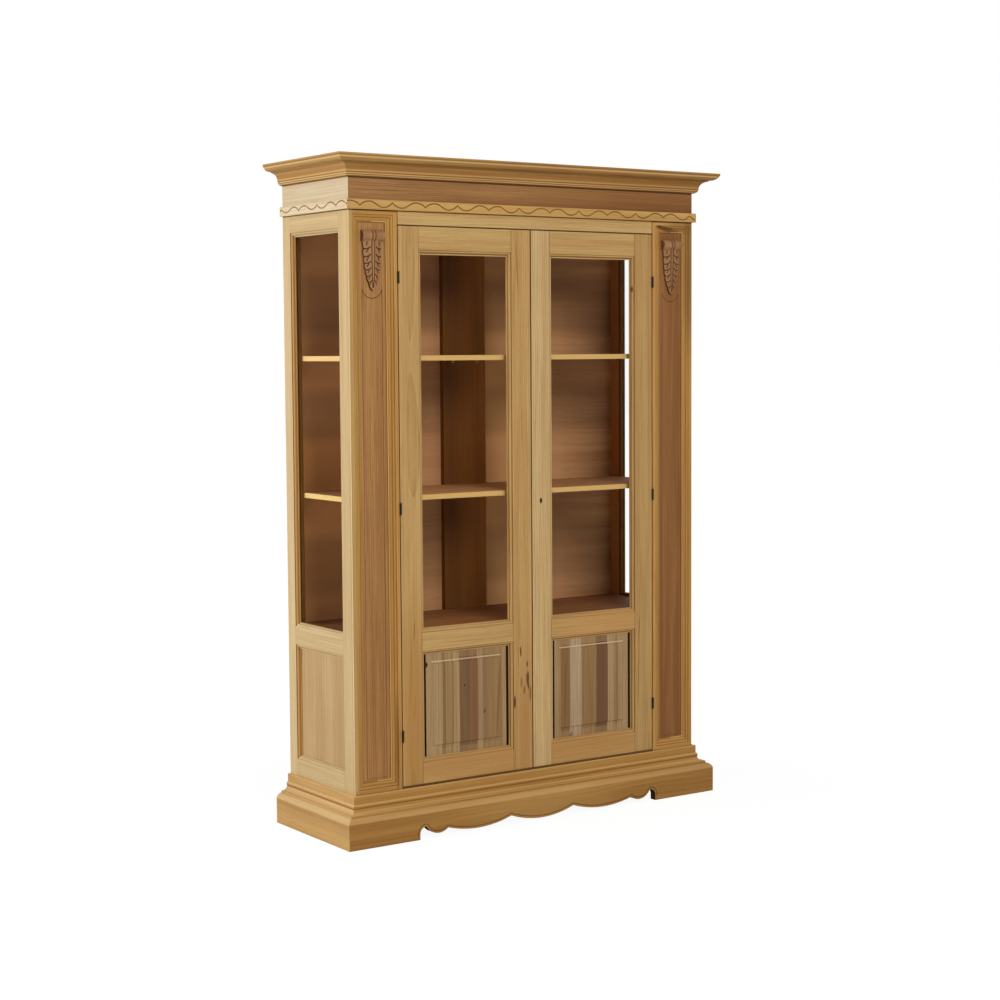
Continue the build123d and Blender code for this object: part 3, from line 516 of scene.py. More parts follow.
# painted shade and painted highlights along the cornice mouldings
crownShade, crownHighlight = tone(118, 80, 20), tone(238, 208, 154)
crownLightAndShade = stripes(
    "z",
    (1.9938, 0.55, 0.0028, crownShade),
    (1.9893, 0.35, 0.0026, crownHighlight),
    (1.976, 0.35, 0.0024, crownShade),
    (1.9625, 0.6, 0.0075, tone(140, 94, 42)),
    (1.9555, 0.15, 0.0026, crownHighlight),
    (1.951, 0.7, 0.0018, crownShade),
    (1.9475, 0.25, 0.0016, crownHighlight),
    (1.945, 0.6, 0.0014, crownShade),
    (1.9425, 0.3, 0.0014, crownHighlight),
    (1.9392, 0.6, 0.0018, tone(90, 52, 14)),
)
# painted shadow under the cornice
friezeShadow = [stripe("z", 1.9372, 0.9, 0.0022, tone(62, 30, 8))]
sideFriezeShadow = [stripe("z", 1.9374, 0.7, 0.002, tone(128, 86, 40))]
# painted shade on the plinth board's cut edges under the scallops
plinthEdgeShade = [shadeBox(tone(52, 30, 10), 0.9, y=(-0.2140, 0.0), z=(0.0, 0.0385))]
# painted shade on the groove walls beside the door panels and on the panels' edges
grooveShadeTone = tone(42, 24, 10)
stileGrooveShade = [
    shadeBox(grooveShadeTone, both=across, y=(-0.1545, -0.1436), z=(0.2195, 0.5525))
    for across in ((0.0805, 0.0900), (0.3825, 0.3920))
]
panelEdgeShade = [shadeBox(grooveShadeTone, both=across) for across in ((0.0, 0.0915), (0.3810, 0.5))]
# painted highlight on the top bevel of the door panels
panelBevelHighlight = [stripe("z", 0.515, 0.6, 0.0026, tone(218, 194, 152), {"both": (0.1115, 0.361)})]
# tones of bark pockets and knots; the first also gives the painted shade in the keyhole
barkAndShadeTone, knotDark = tone(38, 22, 12), tone(62, 38, 16)
knotBrown, streakBrown = tone(92, 58, 34), tone(122, 84, 44)

leftStileMarks = [
    spot((-0.4275, 0.615), (0.0022, 0.034), knotBrown, 0.75, lean=0.086),
    spot((-0.44, 0.49), (0.0026, 0.11), streakBrown, 0.55, lean=0.05),
    spot((-0.436, 0.34), (0.06, 0.55), tone(160, 112, 52), 0.7, 0.1, 0.3),
]
meetingMarks = [
    spot((-0.0443, 0.519), (0.0034, 0.018), knotDark, 0.9, 0.6, lean=-0.06),
    spot((-0.0198, 0.478), (0.0032, 0.014), knotDark, 0.9, 0.6),
    spot((-0.0185, 0.433), (0.0062, 0.029), knotDark, 0.95, 0.6),
    spot((-0.015, 0.409), (0.0036, 0.014), knotDark, 0.85, 0.6),
    spot((-0.0312, 0.399), (0.0034, 0.015), knotDark, 0.95, 0.6, lean=0.06),
    spot((-0.0671, 0.364), (0.0042, 0.022), knotDark, 0.95, 0.6),
    spot((-0.042, 0.424), (0.004, 0.02), knotBrown, 0.7),
    spot((-0.009, 0.386), (0.0046, 0.03), knotBrown, 0.7),
    spot((-0.03, 0.3), (0.03, 0.3), tone(158, 110, 58), 0.5, 0.1),
    spot((-0.05, 1.7), (0.003, 0.1), streakBrown, 0.6, lean=-0.05),
]
rightStileMarks = [
    spot((0.395, 1.631), (0.004, 0.011), tone(96, 44, 24), 0.9),
    spot((0.418, 0.545), (0.002, 0.06), knotBrown, 0.7, lean=0.04),
    spot((0.415, 0.4), (0.0024, 0.12), streakBrown, 0.6, lean=0.02),
]
railMarks = [
    spot((0.0, 0.187), (0.6, 0.07), tone(172, 124, 67), 0.6, 0.5, 0.2),
    spot((0.3, 0.58), (0.26, 0.06), tone(186, 136, 78), 0.5, 0.4, 0.2),
]
leftPanelMarks = [
    spot((-0.1219, 0.386), (0.0055, 0.17), tone(118, 78, 46), 0.7, 0.2, lean=0.061),
    spot((-0.22, 0.514), (0.0028, 0.005), barkAndShadeTone),
    spot((-0.2455, 0.434), (0.0026, 0.005), barkAndShadeTone),
    spot((-0.174, 0.3475), (0.0034, 0.009), knotBrown),
    spot((-0.378, 0.508), (0.004, 0.01), barkAndShadeTone, ragged=1.6),
]
rightPanelMarks = [
    spot((0.273, 0.535), (0.005, 0.006), tone(134, 88, 44), 0.8),
    spot((0.154, 0.236), (0.005, 0.01), knotBrown, 0.8, lean=0.5),
    spot((0.13, 0.38), (0.004, 0.16), tone(104, 68, 38), 0.6, 0.2, lean=0.03),
    spot((0.226, 0.38), (0.003, 0.15), tone(118, 80, 46), 0.5, 0.2, lean=-0.02),
]
# the dark patch on the right pilaster frame's top member is a knot, with painted shade spreading from it
# along the inner moulding
pilasterMarks = [
    spot((0.59, 1.826), (0.085, 0.026), tone(126, 88, 42), 0.6, 0.3, 0.5),
    spot((0.622, 1.7), (0.024, 0.34), tone(114, 78, 40), 0.7, 0.2, 0.5),
    spot((0.503, 1.8305), (0.015, 0.005), barkAndShadeTone, 0.9, ragged=0.6),
    spot((0.52, 1.826), (0.022, 0.007), tone(50, 34, 16), 0.85, 0.5, 0.6),
    spot((0.541, 1.8215), (0.026, 0.0085), tone(46, 32, 16), 0.85, 0.5, 0.6),
    spot((0.566, 1.8165), (0.028, 0.006), tone(60, 42, 20), 0.8, 0.4, 0.6),
    spot((-0.488, 0.28), (0.0075, 0.2), tone(104, 70, 36), 0.6, 0.3, 1.2),
]
baseMarks = [spot((0.0, 0.06), (0.36, 0.16), tone(184, 146, 84), 0.4, 0.1)]
# painted pools of light on the inner face of the back boards
backLightPools = [
    spot((-0.52, 1.2), (0.34, 1.4), tone(232, 164, 98), 0.75, 0.3, 0.1),
    spot((0.1, 1.1), (0.16, 1.0), tone(226, 168, 108), 0.8, 0.2, 0.1),
]
# painted shade inside the keyhole
keyholeShade = spot((0.035, 0.98), (0.0044, 0.0088), tone(20, 8, 2), core=0.8, ragged=0.1)
shelfShade = tone(92, 58, 32)
# painted shadows under the shelves on the back boards
backShelfShadows = stripes(
    "z", (1.585, 0.35, 0.12, shelfShade), (1.245, 0.32, 0.1, shelfShade), (0.78, 0.35, 0.12, shelfShade)
)

doorWood = dict(tinted(golden, 1.03, 1.03, 1.0), fibres=0.28, rings=0.3)
stileWood = dict(doorWood, jointAndLightLines=stileJointsAndShade, paintedShade=stileGrooveShade + gapWallShade)
panelWood = dict(
    golden, line=tone(112, 80, 48), blushShare=0.08, jointAndLightLines=panelBevelHighlight, paintedShade=panelEdgeShade
)
plinthWood = dict(grain="x", rings=0.2, fibres=0.16, strands=0.12)
plinthSideWood = dict(grain="y", rings=0.2, strands=0.14)
# painted shade on the keyhole's walls
keyholeWallShade = shadeBox(barkAndShadeTone, x=(0.0310, 0.0400), y=(-0.1645, -0.14), z=(0.965, 1.0))
woods = {
    "leftHingeStile": dict(stileWood, heart=(-0.43, 0.1), marks=leftStileMarks),
    "leftMeetingStile": dict(
        stileWood, **tinted(golden, 1.0, 0.96, 0.88), heart=(-0.05, 0.2), shift=(0.3, 0.1, 0.2),
        marks=meetingMarks
    ),
    "rightMeetingStile": dict(
        stileWood, **ashen, heart=(0.04, 0.15), shift=(0.2, 0.5, 0.6), marks=[keyholeShade],
        paintedShade=stileGrooveShade + gapWallShade + [keyholeWallShade]
    ),
    "rightHingeStile": dict(
        stileWood, **tinted(golden, 0.95, 0.92, 0.86), heart=(0.42, 0.1), shift=(0.6, 0.2, 0.1),
        marks=rightStileMarks
    ),
    "doorAcross": dict(
        doorWood, grain="x", shift=(0.4, 0.2, 0.7), jointAndLightLines=railJointsAndShade, marks=railMarks, paintedShade=gapWallShade
    ),
    # the door beads are painted dark: painted shade behind the lips
    "doorBead": dict(tinted(golden, 0.3, 0.22, 0.12), grain=doorBead),
    "sideUpright": dict(
        tinted(cream, 0.97, 0.94, 0.88), shift=(0.2, 0.1, 0.3), jointAndLightLines=sideStileLines,
        paintedShade=sideShade
    ),
    "sideAcross": dict(cream, grain="y", jointAndLightLines=sideRailLines, paintedShade=sideShade[1:]),
    # the side beads are painted dark: painted shade behind the lips
    "sideBead": dict(tinted(honey, 0.4, 0.28, 0.12), grain=sideBead),
    "sidePanel": dict(tinted(pinkish, 0.92, 0.9, 0.86), shift=(0.1, 0.5, 0.2)),
    "pilasterFrame": dict(
        tinted(honey, 1.04, 0.94, 0.66), grain=pilasterFrame, shift=(0.3, 0.3, 0.1), fibres=0.3, rings=0.3,
        jointAndLightLines=pilasterLines, marks=pilasterMarks, paintedShade=gapWallShade[1:2]
    ),
    # the darker right pilaster panel: partly another board, partly painted shade
    "pilasterPanel": dict(
        tinted(reddish, 1.14, 1.12, 0.94), rings=0.34, fibres=0.32,
        right=tinted(shadedRed, 0.88, 0.82, 0.7), jointAndLightLines=panelShadeLines
    ),
    "headerAcross": dict(
        tinted(golden, 1.07, 1.11, 1.12), grain="x", shift=(0.1, 0.6, 0.2), fibres=0.28, jointAndLightLines=frontGapShade,
        paintedShade=gapWallShade
    ),
    # darker to the right: partly another board, partly painted shade
    "friezeFront": dict(
        tinted(reddish, 1.03, 1.02, 0.94), grain="x", rings=0.34, fibres=0.3, jointAndLightLines=friezeShadow,
        right=tinted(shadedRed, 0.86, 0.79, 0.62), turn=(-0.6, 0.6)
    ),
    "friezeSide": dict(
        tinted(milky, 0.93, 0.93, 0.93), grain="y", shift=(0.3, 0.2, 0.9), jointAndLightLines=sideFriezeShadow
    ),
    "stripFront": dict(tinted(golden, 1.1, 1.06, 0.89), grain="x", shift=(0.5, 0.4, 0.3)),
    "stripSide": dict(milky, grain="y", shift=(0.7, 0.1, 0.3)),
    # darker to the right: partly another board, partly painted shade
    "crownFront": dict(
        tinted(tawny, 1.05, 1.07, 1.08), grain="x", shift=(0.2, 0.9, 0.3),
        right=tinted(tawny, 0.75, 0.66, 0.51), turn=(-0.6, 0.6), fibres=0.3, rings=0.3, jointAndLightLines=crownLightAndShade
    ),
    "crownSide": dict(tinted(honey, 0.92, 0.89, 0.74), grain="y", shift=(0.2, 0.4, 0.3), jointAndLightLines=crownLightAndShade),
    "plinthFront": dict(
        tinted(base, 1.0, 0.94, 0.8), **plinthWood, shift=(0.1, 0.2, 0.6), marks=baseMarks,
        paintedShade=plinthEdgeShade, jointAndLightLines=bevelHighlight
    ),
    "baseMoulding": dict(
        tinted(base, 1.16, 1.16, 1.05), **plinthWood, shift=(0.4, 0.1, 0.2), jointAndLightLines=baseLightAndShade,
        paintedShade=gapWallShade[3:]
    ),
    "plinthSide": dict(tinted(honey, 0.95, 0.95, 0.82), **plinthSideWood, jointAndLightLines=sideBevelHighlight),
    "baseSide": dict(tinted(honey, 0.98, 0.98, 0.9), **plinthSideWood, jointAndLightLines=sideBaseLightAndShade),
    "carcass": dict(golden, grain="x", shift=(0.9, 0.1, 0.6)),
    "shelfBoard": dict(
        plywood, grain="x", shift=(0.6, 0.3, 0.2), front=(-0.1345, tone(209, 167, 101)),
        ends=(0.6050, tone(224, 188, 122))
    ),
    "floorBoard": dict(tinted(shadedRed, 0.98, 0.84, 0.75), grain="x", shift=(0.2, 0.3, 0.8)),
    # the back boards carry painted light: a lighter right part and pools of light, and painted shadows under
    # the shelves
    "backBoard": dict(
        tinted(plywood, 1.1, 1.13, 1.22), grain="x", deep=tone(187, 136, 91),
        right=tinted(plywood, 1.4, 1.44, 1.55), turn=(0.36, 0.56), outer=(0.2275, plywood), rings=0.1,
        wander=0.16, ringWidth=0.02, fibres=0.12, strands=0.08, blushShare=0.12, marks=backLightPools,
        jointAndLightLines=backShelfShadows
    ),
    "muntin": dict(
        pale=tone(111, 66, 22), deep=tone(106, 62, 20), rosy=tone(106, 62, 20),
        line=tone(80, 44, 14), rings=0.08, fibres=0.12, strands=0.1, blushShare=0.1, clouds=0.05,
        turn=(-0.08, 0.08), right={"pale": tone(164, 102, 38), "deep": tone(158, 98, 36)},
        # painted light: an amber stripe along the left edge, where the muntin's side catches the light
        jointAndLightLines=[stripe("x", -0.074, 0.6, 0.008, tone(116, 66, 8))]
    ),
    "leftPanel": dict(panelWood, staves=leftStaves, marks=leftPanelMarks),
    "rightPanel": dict(panelWood, staves=rightStaves, marks=rightPanelMarks),
    "carving": dict(reddish, pale=tone(166, 124, 84), deep=tone(150, 108, 70), rings=0.1),
    # the roll's ends: painted shade
    "carvingEnd": dict(reddish, pale=tone(118, 82, 50), deep=tone(104, 70, 40)),
    # the darker finishes left in grooves, on the leaf's walls and in the roll's band: painted shade
    "cutGolden": dict(grooveShade, grain="x", pale=tone(158, 112, 44), deep=tone(142, 98, 36)),
    "cutCream": dict(grooveShade, grain="y", pale=tone(190, 148, 92), deep=tone(174, 132, 78)),
    "cutBase": dict(grooveShade, grain="x", pale=tone(120, 82, 40), deep=tone(104, 70, 32)),
    "cutReddish": dict(grooveShade, pale=tone(84, 48, 18), deep=tone(72, 38, 12)),
    "cutArch": dict(grooveShade, pale=tone(112, 70, 34), deep=tone(98, 60, 26)),
}
materials = {name: woodMaterial(name, own) for name, own in woods.items()}
print(len(materials), "woods made")


# Metal and glass

metalLook = {
    "blackIron": {"colour": tone(15, 14, 14), "worn": tone(34, 32, 30), "metallic": 0.5, "rough": 0.5},
    "steel": {"colour": tone(168, 166, 160), "worn": tone(128, 124, 116), "metallic": 1.0, "rough": 0.34},
}
surfaceLook = {"grain": (900, 900, 900), "smear": (60, 60, 60), "smearStep": (0.45, 0.75), "bump": 0.2}


def metalMaterial(name, look):
    g = Graph(bpy.data.materials.new(name))
    place = g.objectPlace()
    grain = g.noise(g.stretch(place, surfaceLook["grain"]), 3.0)
    smear = g.noise(g.stretch(place, surfaceLook["smear"]), 2.0)
    colour = g.mix(smear.step(*surfaceLook["smearStep"]), look["colour"], look["worn"])
    relief = {"Strength": surfaceLook["bump"], "Distance": 0.1 * mm, "Height": grain}
    finish = {
        "Base Color": colour,
        "Metallic": look["metallic"],
        "Roughness": look["rough"] + 0.16 * smear + 0.08 * grain,
        "Normal": g.node("Bump", None, relief),
    }
    return g.finish(g.node("BsdfPrincipled", None, finish))


glassLook = {
    "clear": (0.985, 0.99, 0.985, 1),
    "shine": (0.6, 0.62, 0.62, 1),
    "rough": 0.02,
    "least": 0.012,  # shine seen straight on, and what a flat view adds
    "rim": 0.9,
    "rimSharp": 5,
    "smear": (9, 9, 4),
    "share": (0.08, 0.08),  # of the shine that is left, and more where it is smeared
}


def glassMaterial(name, look):
    g = Graph(bpy.data.materials.new(name))
    clear = g.node("BsdfTransparent", None, {"Color": look["clear"]})
    shine = g.node("BsdfGlossy", None, {"Color": look["shine"], "Roughness": look["rough"]})
    facing = g.node("LayerWeight", None, {"Blend": 0.5}, "Facing")
    smear = g.noise(g.stretch(g.objectPlace(), look["smear"]), 2.0)
    clean, smeared = look["share"]
    share = (look["least"] + look["rim"] * facing ** look["rimSharp"]) * (clean + smeared * smear)
    return g.finish(g.node("MixShader", None, {0: share, 1: clear, 2: shine}))


for name, look in metalLook.items():
    materials[name] = metalMaterial(name, look)
materials["glass"] = glassMaterial("glass", glassLook)
print("metal and glass made")


# Finish of each node

rails = ("top", "middle", "bottom")
finishes = {
    "leftHingeStile": "left_door_hinge_stile",
    "leftMeetingStile": "left_door_meeting_stile",
    "rightMeetingStile": "right_door_meeting_stile",
    "rightHingeStile": "right_door_hinge_stile",
    "doorAcross": " ".join(f"{side}_door_{at}_rail" for side in ("left", "right") for at in rails),
    "doorBead": "left_door_beads right_door_beads",
    "sideUpright": "side_front_stiles side_back_stiles",
    "sideAcross": "side_top_rails side_middle_rails side_bottom_rails",
    "sideBead": "side_beads",
    "sidePanel": "side_panels",
    "pilasterFrame": "pilaster_frames",
    "pilasterPanel": "pilaster_panels",
    "headerAcross": "header_rail bottom_rail",
    "friezeFront": "frieze_front",
    "friezeSide": "frieze_sides",
    "stripFront": "wave_strip_front",
    "stripSide": "wave_strip_sides",
    "crownFront": "cornice_front",
    "crownSide": "cornice_sides",
    "plinthFront": "plinth_front",
    "baseMoulding": "base_moulding_front",
    "plinthSide": "plinth_sides",
    "baseSide": "base_moulding_sides",
    "carcass": "top_board bottom_board plinth_back plinth_blocks frieze_back shelf_rests",
    "shelfBoard": "shelves",
    "floorBoard": "display_floor",
    "backBoard": "back_panels dust_cover",
    "muntin": "back_muntin",
    "leftPanel": "left_door_panel",
    "rightPanel": "right_door_panel",
    "carving": "corbels",
    "blackIron": "hinge_frame_leaves left_door_hinge_leaves right_door_hinge_leaves",
    "steel": "lock_case lock_bolt left_door_bolt_guides upper_bolt lower_bolt",
    "glass": "left_door_pane right_door_pane side_panes",
}

for name, members in finishes.items():
    for member in members.split():
        slots = nodes[member].data.materials
        slots.clear()
        slots.append(materials[name])
print("nodes finished:", sum(len(members.split()) for members in finishes.values()), "of", len(nodes))


# Modelling helpers


def freeTheSelection():
    if bpy.context.object and bpy.context.object.mode != "OBJECT":
        bpy.ops.object.mode_set(mode="OBJECT")
    bpy.ops.object.select_all(action="DESELECT")


def choose(*pieces):
    freeTheSelection()
    for piece in pieces:
        piece.select_set(True)
    bpy.context.view_layer.objects.active = pieces[0]


def applyModifier(piece, kind, **settings):
    choose(piece)
    modifier = piece.modifiers.new(kind.lower(), kind)
    for key, value in settings.items():
        setattr(modifier, key, value)
    bpy.ops.object.modifier_apply(modifier=modifier.name)


def joined(pieces, name):
    choose(*pieces)
    bpy.ops.object.join()
    piece = bpy.context.object
    piece.name = piece.data.name = name
    return piece


def copied(piece, name="copy"):
    return placed(name, piece.data.copy())


def moved(piece, matrix):
    piece.data.transform(matrix)
    return piece


outwards = {"inside": False}  # faces turned to the outside


def edited(piece, **steps):  # mesh operators by name, with everything selected before each
    choose(piece)
    bpy.ops.object.mode_set(mode="EDIT")
    for name, settings in steps.items():
        bpy.ops.mesh.select_all(action="SELECT")
        getattr(bpy.ops.mesh, name)(**settings)
    bpy.ops.object.mode_set(mode="OBJECT")
    return piece


def nodeCopy(node, name):
    made = copied(nodes[node], name)
    edited(made, remove_doubles={"threshold": 0.00001}, customdata_custom_splitnormals_clear={})
    return edited(made, tris_convert_to_quads={})


def rod(points, radius):
    curve = bpy.data.curves.new("rod", "CURVE")
    curve.dimensions = "3D"
    curve.bevel_depth = radius
    curve.bevel_resolution = 3
    curve.use_fill_caps = True
    spline = curve.splines.new("POLY")
    spline.points.add(len(points) - 1)
    for point, place in zip(spline.points, points):
        point.co = (*place, 1)
    choose(placed("rod", curve))
    bpy.ops.object.convert(target="MESH")
    merged = {"threshold": radius * 0.01}
    return edited(bpy.context.object, remove_doubles=merged, normals_make_consistent=outwards)


def settled(piece, node, body):  # takes the node's place
    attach(piece, body)
    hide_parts(node)


def cutBy(piece, cutter, finish, operation="DIFFERENCE"):
    cutter.data.materials.clear()
    cutter.data.materials.append(materials[finish])
    how = {"operation": operation, "solver": "MANIFOLD", "material_mode": "TRANSFER"}
    applyModifier(piece, "BOOLEAN", object=cutter, **how)
    bpy.data.objects.remove(cutter)


def smoothed(piece, degrees):
    choose(piece)
    bpy.ops.object.shade_smooth_by_angle(angle=math.radians(degrees))


# each cutter leaves a darker finish in its groove: painted shade
def grooved(node, name, cutters):  # cutters are pairs of a rod and the finish it leaves
    piece = nodeCopy(node, name)
    for cutter, finish in cutters:
        cutBy(piece, cutter, finish)
    smoothed(piece, 32)
    settled(piece, node, "cabinet")


def arcThrough(first, middle, last, count):  # points of the circle through three places in a plane
    (ax, az), (bx, bz), (cx, cz) = first, middle, last
    d = 2 * (ax * (bz - cz) + bx * (cz - az) + cx * (az - bz))
    ux = ((ax**2 + az**2) * (bz - cz) + (bx**2 + bz**2) * (cz - az) + (cx**2 + cz**2) * (az - bz)) / d
    uz = ((ax**2 + az**2) * (cx - bx) + (bx**2 + bz**2) * (ax - cx) + (cx**2 + cz**2) * (bx - ax)) / d
    start, mid, end = (math.atan2(pz - uz, px - ux) for px, pz in (first, middle, last))
    turn = 2 * math.pi
    sweep = (end - start) % turn
    if (mid - start) % turn > sweep:
        sweep -= turn
    radius = math.hypot(ax - ux, az - uz)
    angles = [start + sweep * i / count for i in range(count + 1)]
    return [(ux + radius * math.cos(a), uz + radius * math.sin(a)) for a in angles]


# Running wave cut into the strip under the frieze

waveLine = {
    "face": 0.175,
    "sideFace": 0.645,
    "radius": 0.0021,
    "lift": 0.3,  # of the cutter's middle before the face, as a share of its radius
    "frontEnd": 0.66,  # the cutter runs past both ends of the strip
    "sideEnds": (-0.19, 0.245),
    "up": 1867.5,  # pointed tops, millimetres
    "valley": 1853.3,
    "sideValley": 1856.3,
    "hump": 1870.0,
    "down": 1856.8,  # pointed bottoms
    "valleyAt": 0.285,  # share of the way from a top to a bottom
    "humpAt": 0.7,
    "sharp": 2.2,
    "round": 0.75,
    "steps": 26,
    "front": [-714, -602, -493.5, -380.8, -268.9, -157.9, -47, 66.3, 176.7, 286.6, 398.1, 510.1, 618.3, 730],
    "side": [-222, -111.8, -0.9, 109.9, 217.6, 328],  # a pointed top comes first in both
}


def waveLevel(look, valley, s):  # s is the share of the way from a top to a bottom
    first, second = look["valleyAt"], look["humpAt"]
    up, hump, down = look["up"], look["hump"], look["down"]
    if s < first:
        return valley + (up - valley) * (1 - s / first) ** look["sharp"]
    if s < second:
        swing = math.cos(math.pi * (s - first) / (second - first))
        return (valley + hump) / 2 - (hump - valley) / 2 * swing
    return down + (hump - down) * max(0.0, 1 - ((s - second) / (1 - second)) ** 2) ** look["round"]


def wavePoints(look, anchors, valley):
    points = []
    for index, (start, end) in enumerate(zip(anchors, anchors[1:])):
        for i in range(look["steps"]):
            t = i / look["steps"]
            level = waveLevel(look, valley, t if index % 2 == 0 else 1 - t)
            points.append(((start + (end - start) * t) * mm, level * mm))
    return points


def makeWaves(look):
    lift = look["radius"] * look["lift"]
    line = wavePoints(look, look["front"], look["valley"])
    path = [(x, -look["face"] - lift, z) for x, z in line if abs(x) < look["frontEnd"]]
    grooved("wave_strip_front", "waveStripFront", [(rod(path, look["radius"]), "cutGolden")])
    line = wavePoints(look, look["side"], look["sideValley"])
    low, high = look["sideEnds"]
    cutters = []
    for side in (-1, 1):
        path = [(side * (look["sideFace"] + lift), y, z) for y, z in line if low < y < high]
        cutters.append((rod(path, look["radius"]), "cutCream"))
    grooved("wave_strip_sides", "waveStripSides", cutters)


makeWaves(waveLine)
print("running wave cut")


# Glazing beads, chamfered so that they stay out of sight behind the lips

beadLook = {
    "shared": 0.0028,  # how far the front of a bead moves outwards
    "chamfer": 0.0075,  # and its back
    "middle": 0.23625,
    "level": 1.1715,  # of the pane's middle
    "reach": 0.15376,
    "front": 0.001,
}


def chamferBeads(side, sign, look):
    node = side + "_door_beads"
    piece = nodeCopy(node, side + "DoorBeads")
    vertices = piece.data.vertices
    front = min(vertex.co.y for vertex in vertices) + look["front"]
    for vertex in vertices:
        move = look["shared"] if vertex.co.y < front else look["chamfer"]
        away = vertex.co.x - sign * look["middle"]
        if abs(away) < look["reach"]:
            vertex.co.x += math.copysign(move, away)
            vertex.co.z += math.copysign(move, vertex.co.z - look["level"])
    settled(piece, node, side + "_door")


chamferBeads("left", -1, beadLook)
chamferBeads("right", 1, beadLook)
print("glazing beads chamfered")


# Line cut along the scalloped edge of the plinth

apronLine = {
    "face": 0.215,
    "inset": 7.0,
    "radius": 0.0013,
    "lift": 0.3,
    "foot": [(-444, 10), (-444, 18)],
    "arcs": [  # of the left half: first, middle and last place, and the number of steps
        ((-444, 18), (-437.6, 32.1), (-422, 38), 10),
        ((-422, 38), (-383, 12.5), (-346, 24), 18),
        ((-346, 24), (-231.5, 8), (-117, 28), 30),
    ],
    "middle": ((-117, 28), (0, 6.5), (117, 28), 30),
}


def inwards(points, inset):  # the same line, moved into the wood, which is on its left
    line = []
    for i, (x, z) in enumerate(points):
        x0, z0 = points[max(i - 1, 0)]
        x1, z1 = points[min(i + 1, len(points) - 1)]
        run = math.hypot(x1 - x0, z1 - z0)
        line.append((x - (z1 - z0) / run * inset, z + (x1 - x0) / run * inset))
    return line


def makeApronLine(look):
    pieces = [look["foot"]] + [arcThrough(*arc) for arc in look["arcs"]]
    half = [place for piece in pieces for place in inwards(piece, look["inset"])]
    middle = inwards(arcThrough(*look["middle"]), look["inset"])
    line = half + middle + [(-x, z) for x, z in reversed(half)]
    points = [(x * mm, -look["face"] - look["radius"] * look["lift"], z * mm) for x, z in line]
    grooved("plinth_front", "plinthFrontBoard", [(rod(points, look["radius"]), "cutBase")])


makeApronLine(apronLine)
print("plinth line cut")


# Arch and border lines cut into the pilaster panels

archLine = {
    "centre": 553.75,
    "reach": 33.5,
    "ends": 1619.5,
    "low": 1593.4,
    "foot": 190,
    "face": 0.155,
    "radius": 0.0014,
    "fine": 0.0009,  # radius of the border's cutter
    "lift": 0.35,
}


def makeArches(look):
    cutters = []
    for side in (-1, 1):
        middle = side * look["centre"]
        reach, ends, foot = look["reach"], look["ends"], look["foot"]
        arc = arcThrough((-reach, ends), (0, look["low"]), (reach, ends), 24)
        border = [(reach, ends - 1), (reach, foot), (-reach, foot), (-reach, ends - 1)]
        for outline, radius in ((border, look["fine"]), (arc, look["radius"])):
            depth = -look["face"] - radius * look["lift"]
            points = [((middle + x) * mm, depth, z * mm) for x, z in outline]
            cutters.append((rod(points, radius), "cutArch"))
    grooved("pilaster_panels", "pilasterPanels", cutters)


makeArches(archLine)
print("pilaster panels cut")


# Carved corbels: a roll over a hanging leaf, in millimetres until it is placed

corbelLook = {
    "centre": 0.55375,
    "panel": -0.155,
    "tip": 1.616,
    "top": 152.0,  # the leaf runs in under the roll
    "outline": [  # level above the tip, and half the width there
        (0, 0), (7, 6.8), (15, 11.6), (28, 16.4), (45, 21.6), (64, 25.8), (94, 29.4), (131, 31.2), (160, 32),
    ],
    "notches": [119.0, 96.4, 77.5, 58.6, 40.5, 24.0],
    "notch": 1.1,
    "bulge": 0.7,
    "crown": 12.0,
    "crownRadius": 96.0,
    "fall": 3.6,  # thinner towards the tip
    "firstLobe": 18.5,
    "usualLobe": 19,
    "usualHalf": 30,
    "cut": 2.1,  # radius of the seams at the leaf's widest place
    "gouge": 0.86,  # a gouge is that share of a seam
    "topGouge": ((19.6, 141), (20, 135), (21.6, 127.5)),
    "rib": [(4.8, 152), (4.7, 110), (4.3, 75), (3.6, 45), (2.3, 22), (0.9, 7)],
    "ribCut": 1.5,
}

rollLook = {
    "level": 157.0,
    "height": 3.0,
    "profile": [  # place along the roll, and its radius there
        (-36.5, 13.2), (-36.2, 15.2), (-34.6, 16.7), (-32, 17.0), (-26, 16.3), (-17, 16.1), (-10, 16.7),
        (-7.3, 17.0), (-6.4, 16.4), (-5.2, 14.6), (-4.0, 16.4), (-3.1, 17.2), (0, 17.4),
    ],
    "end": 36.3,
    "band": (4.4, 6.0),
}


def plate(points, low, high):  # an outline in the plane, raised from one level to another
    freeTheSelection()
    bpy.ops.mesh.primitive_circle_add(vertices=len(points), fill_type="NGON")
    made = bpy.context.object
    for vertex, (x, y) in zip(made.data.vertices, points):
        vertex.co = (x, y, low)
    edited(made, extrude_region_move={"TRANSFORM_OT_translate": {"value": (0, 0, high - low)}})
    return edited(made, normals_make_consistent=outwards)


def sized(x, y, z):
    return Matrix.Diagonal((x, y, z, 1))


def bentLine(start, bend, end, count=9):
    line = []
    for i in range(count):
        t = i / (count - 1)
        first, second, third = (1 - t) ** 2, 2 * t * (1 - t), t * t
        line.append(tuple(a * first + b * second + c * third for a, b, c in zip(start, bend, end)))
    return line


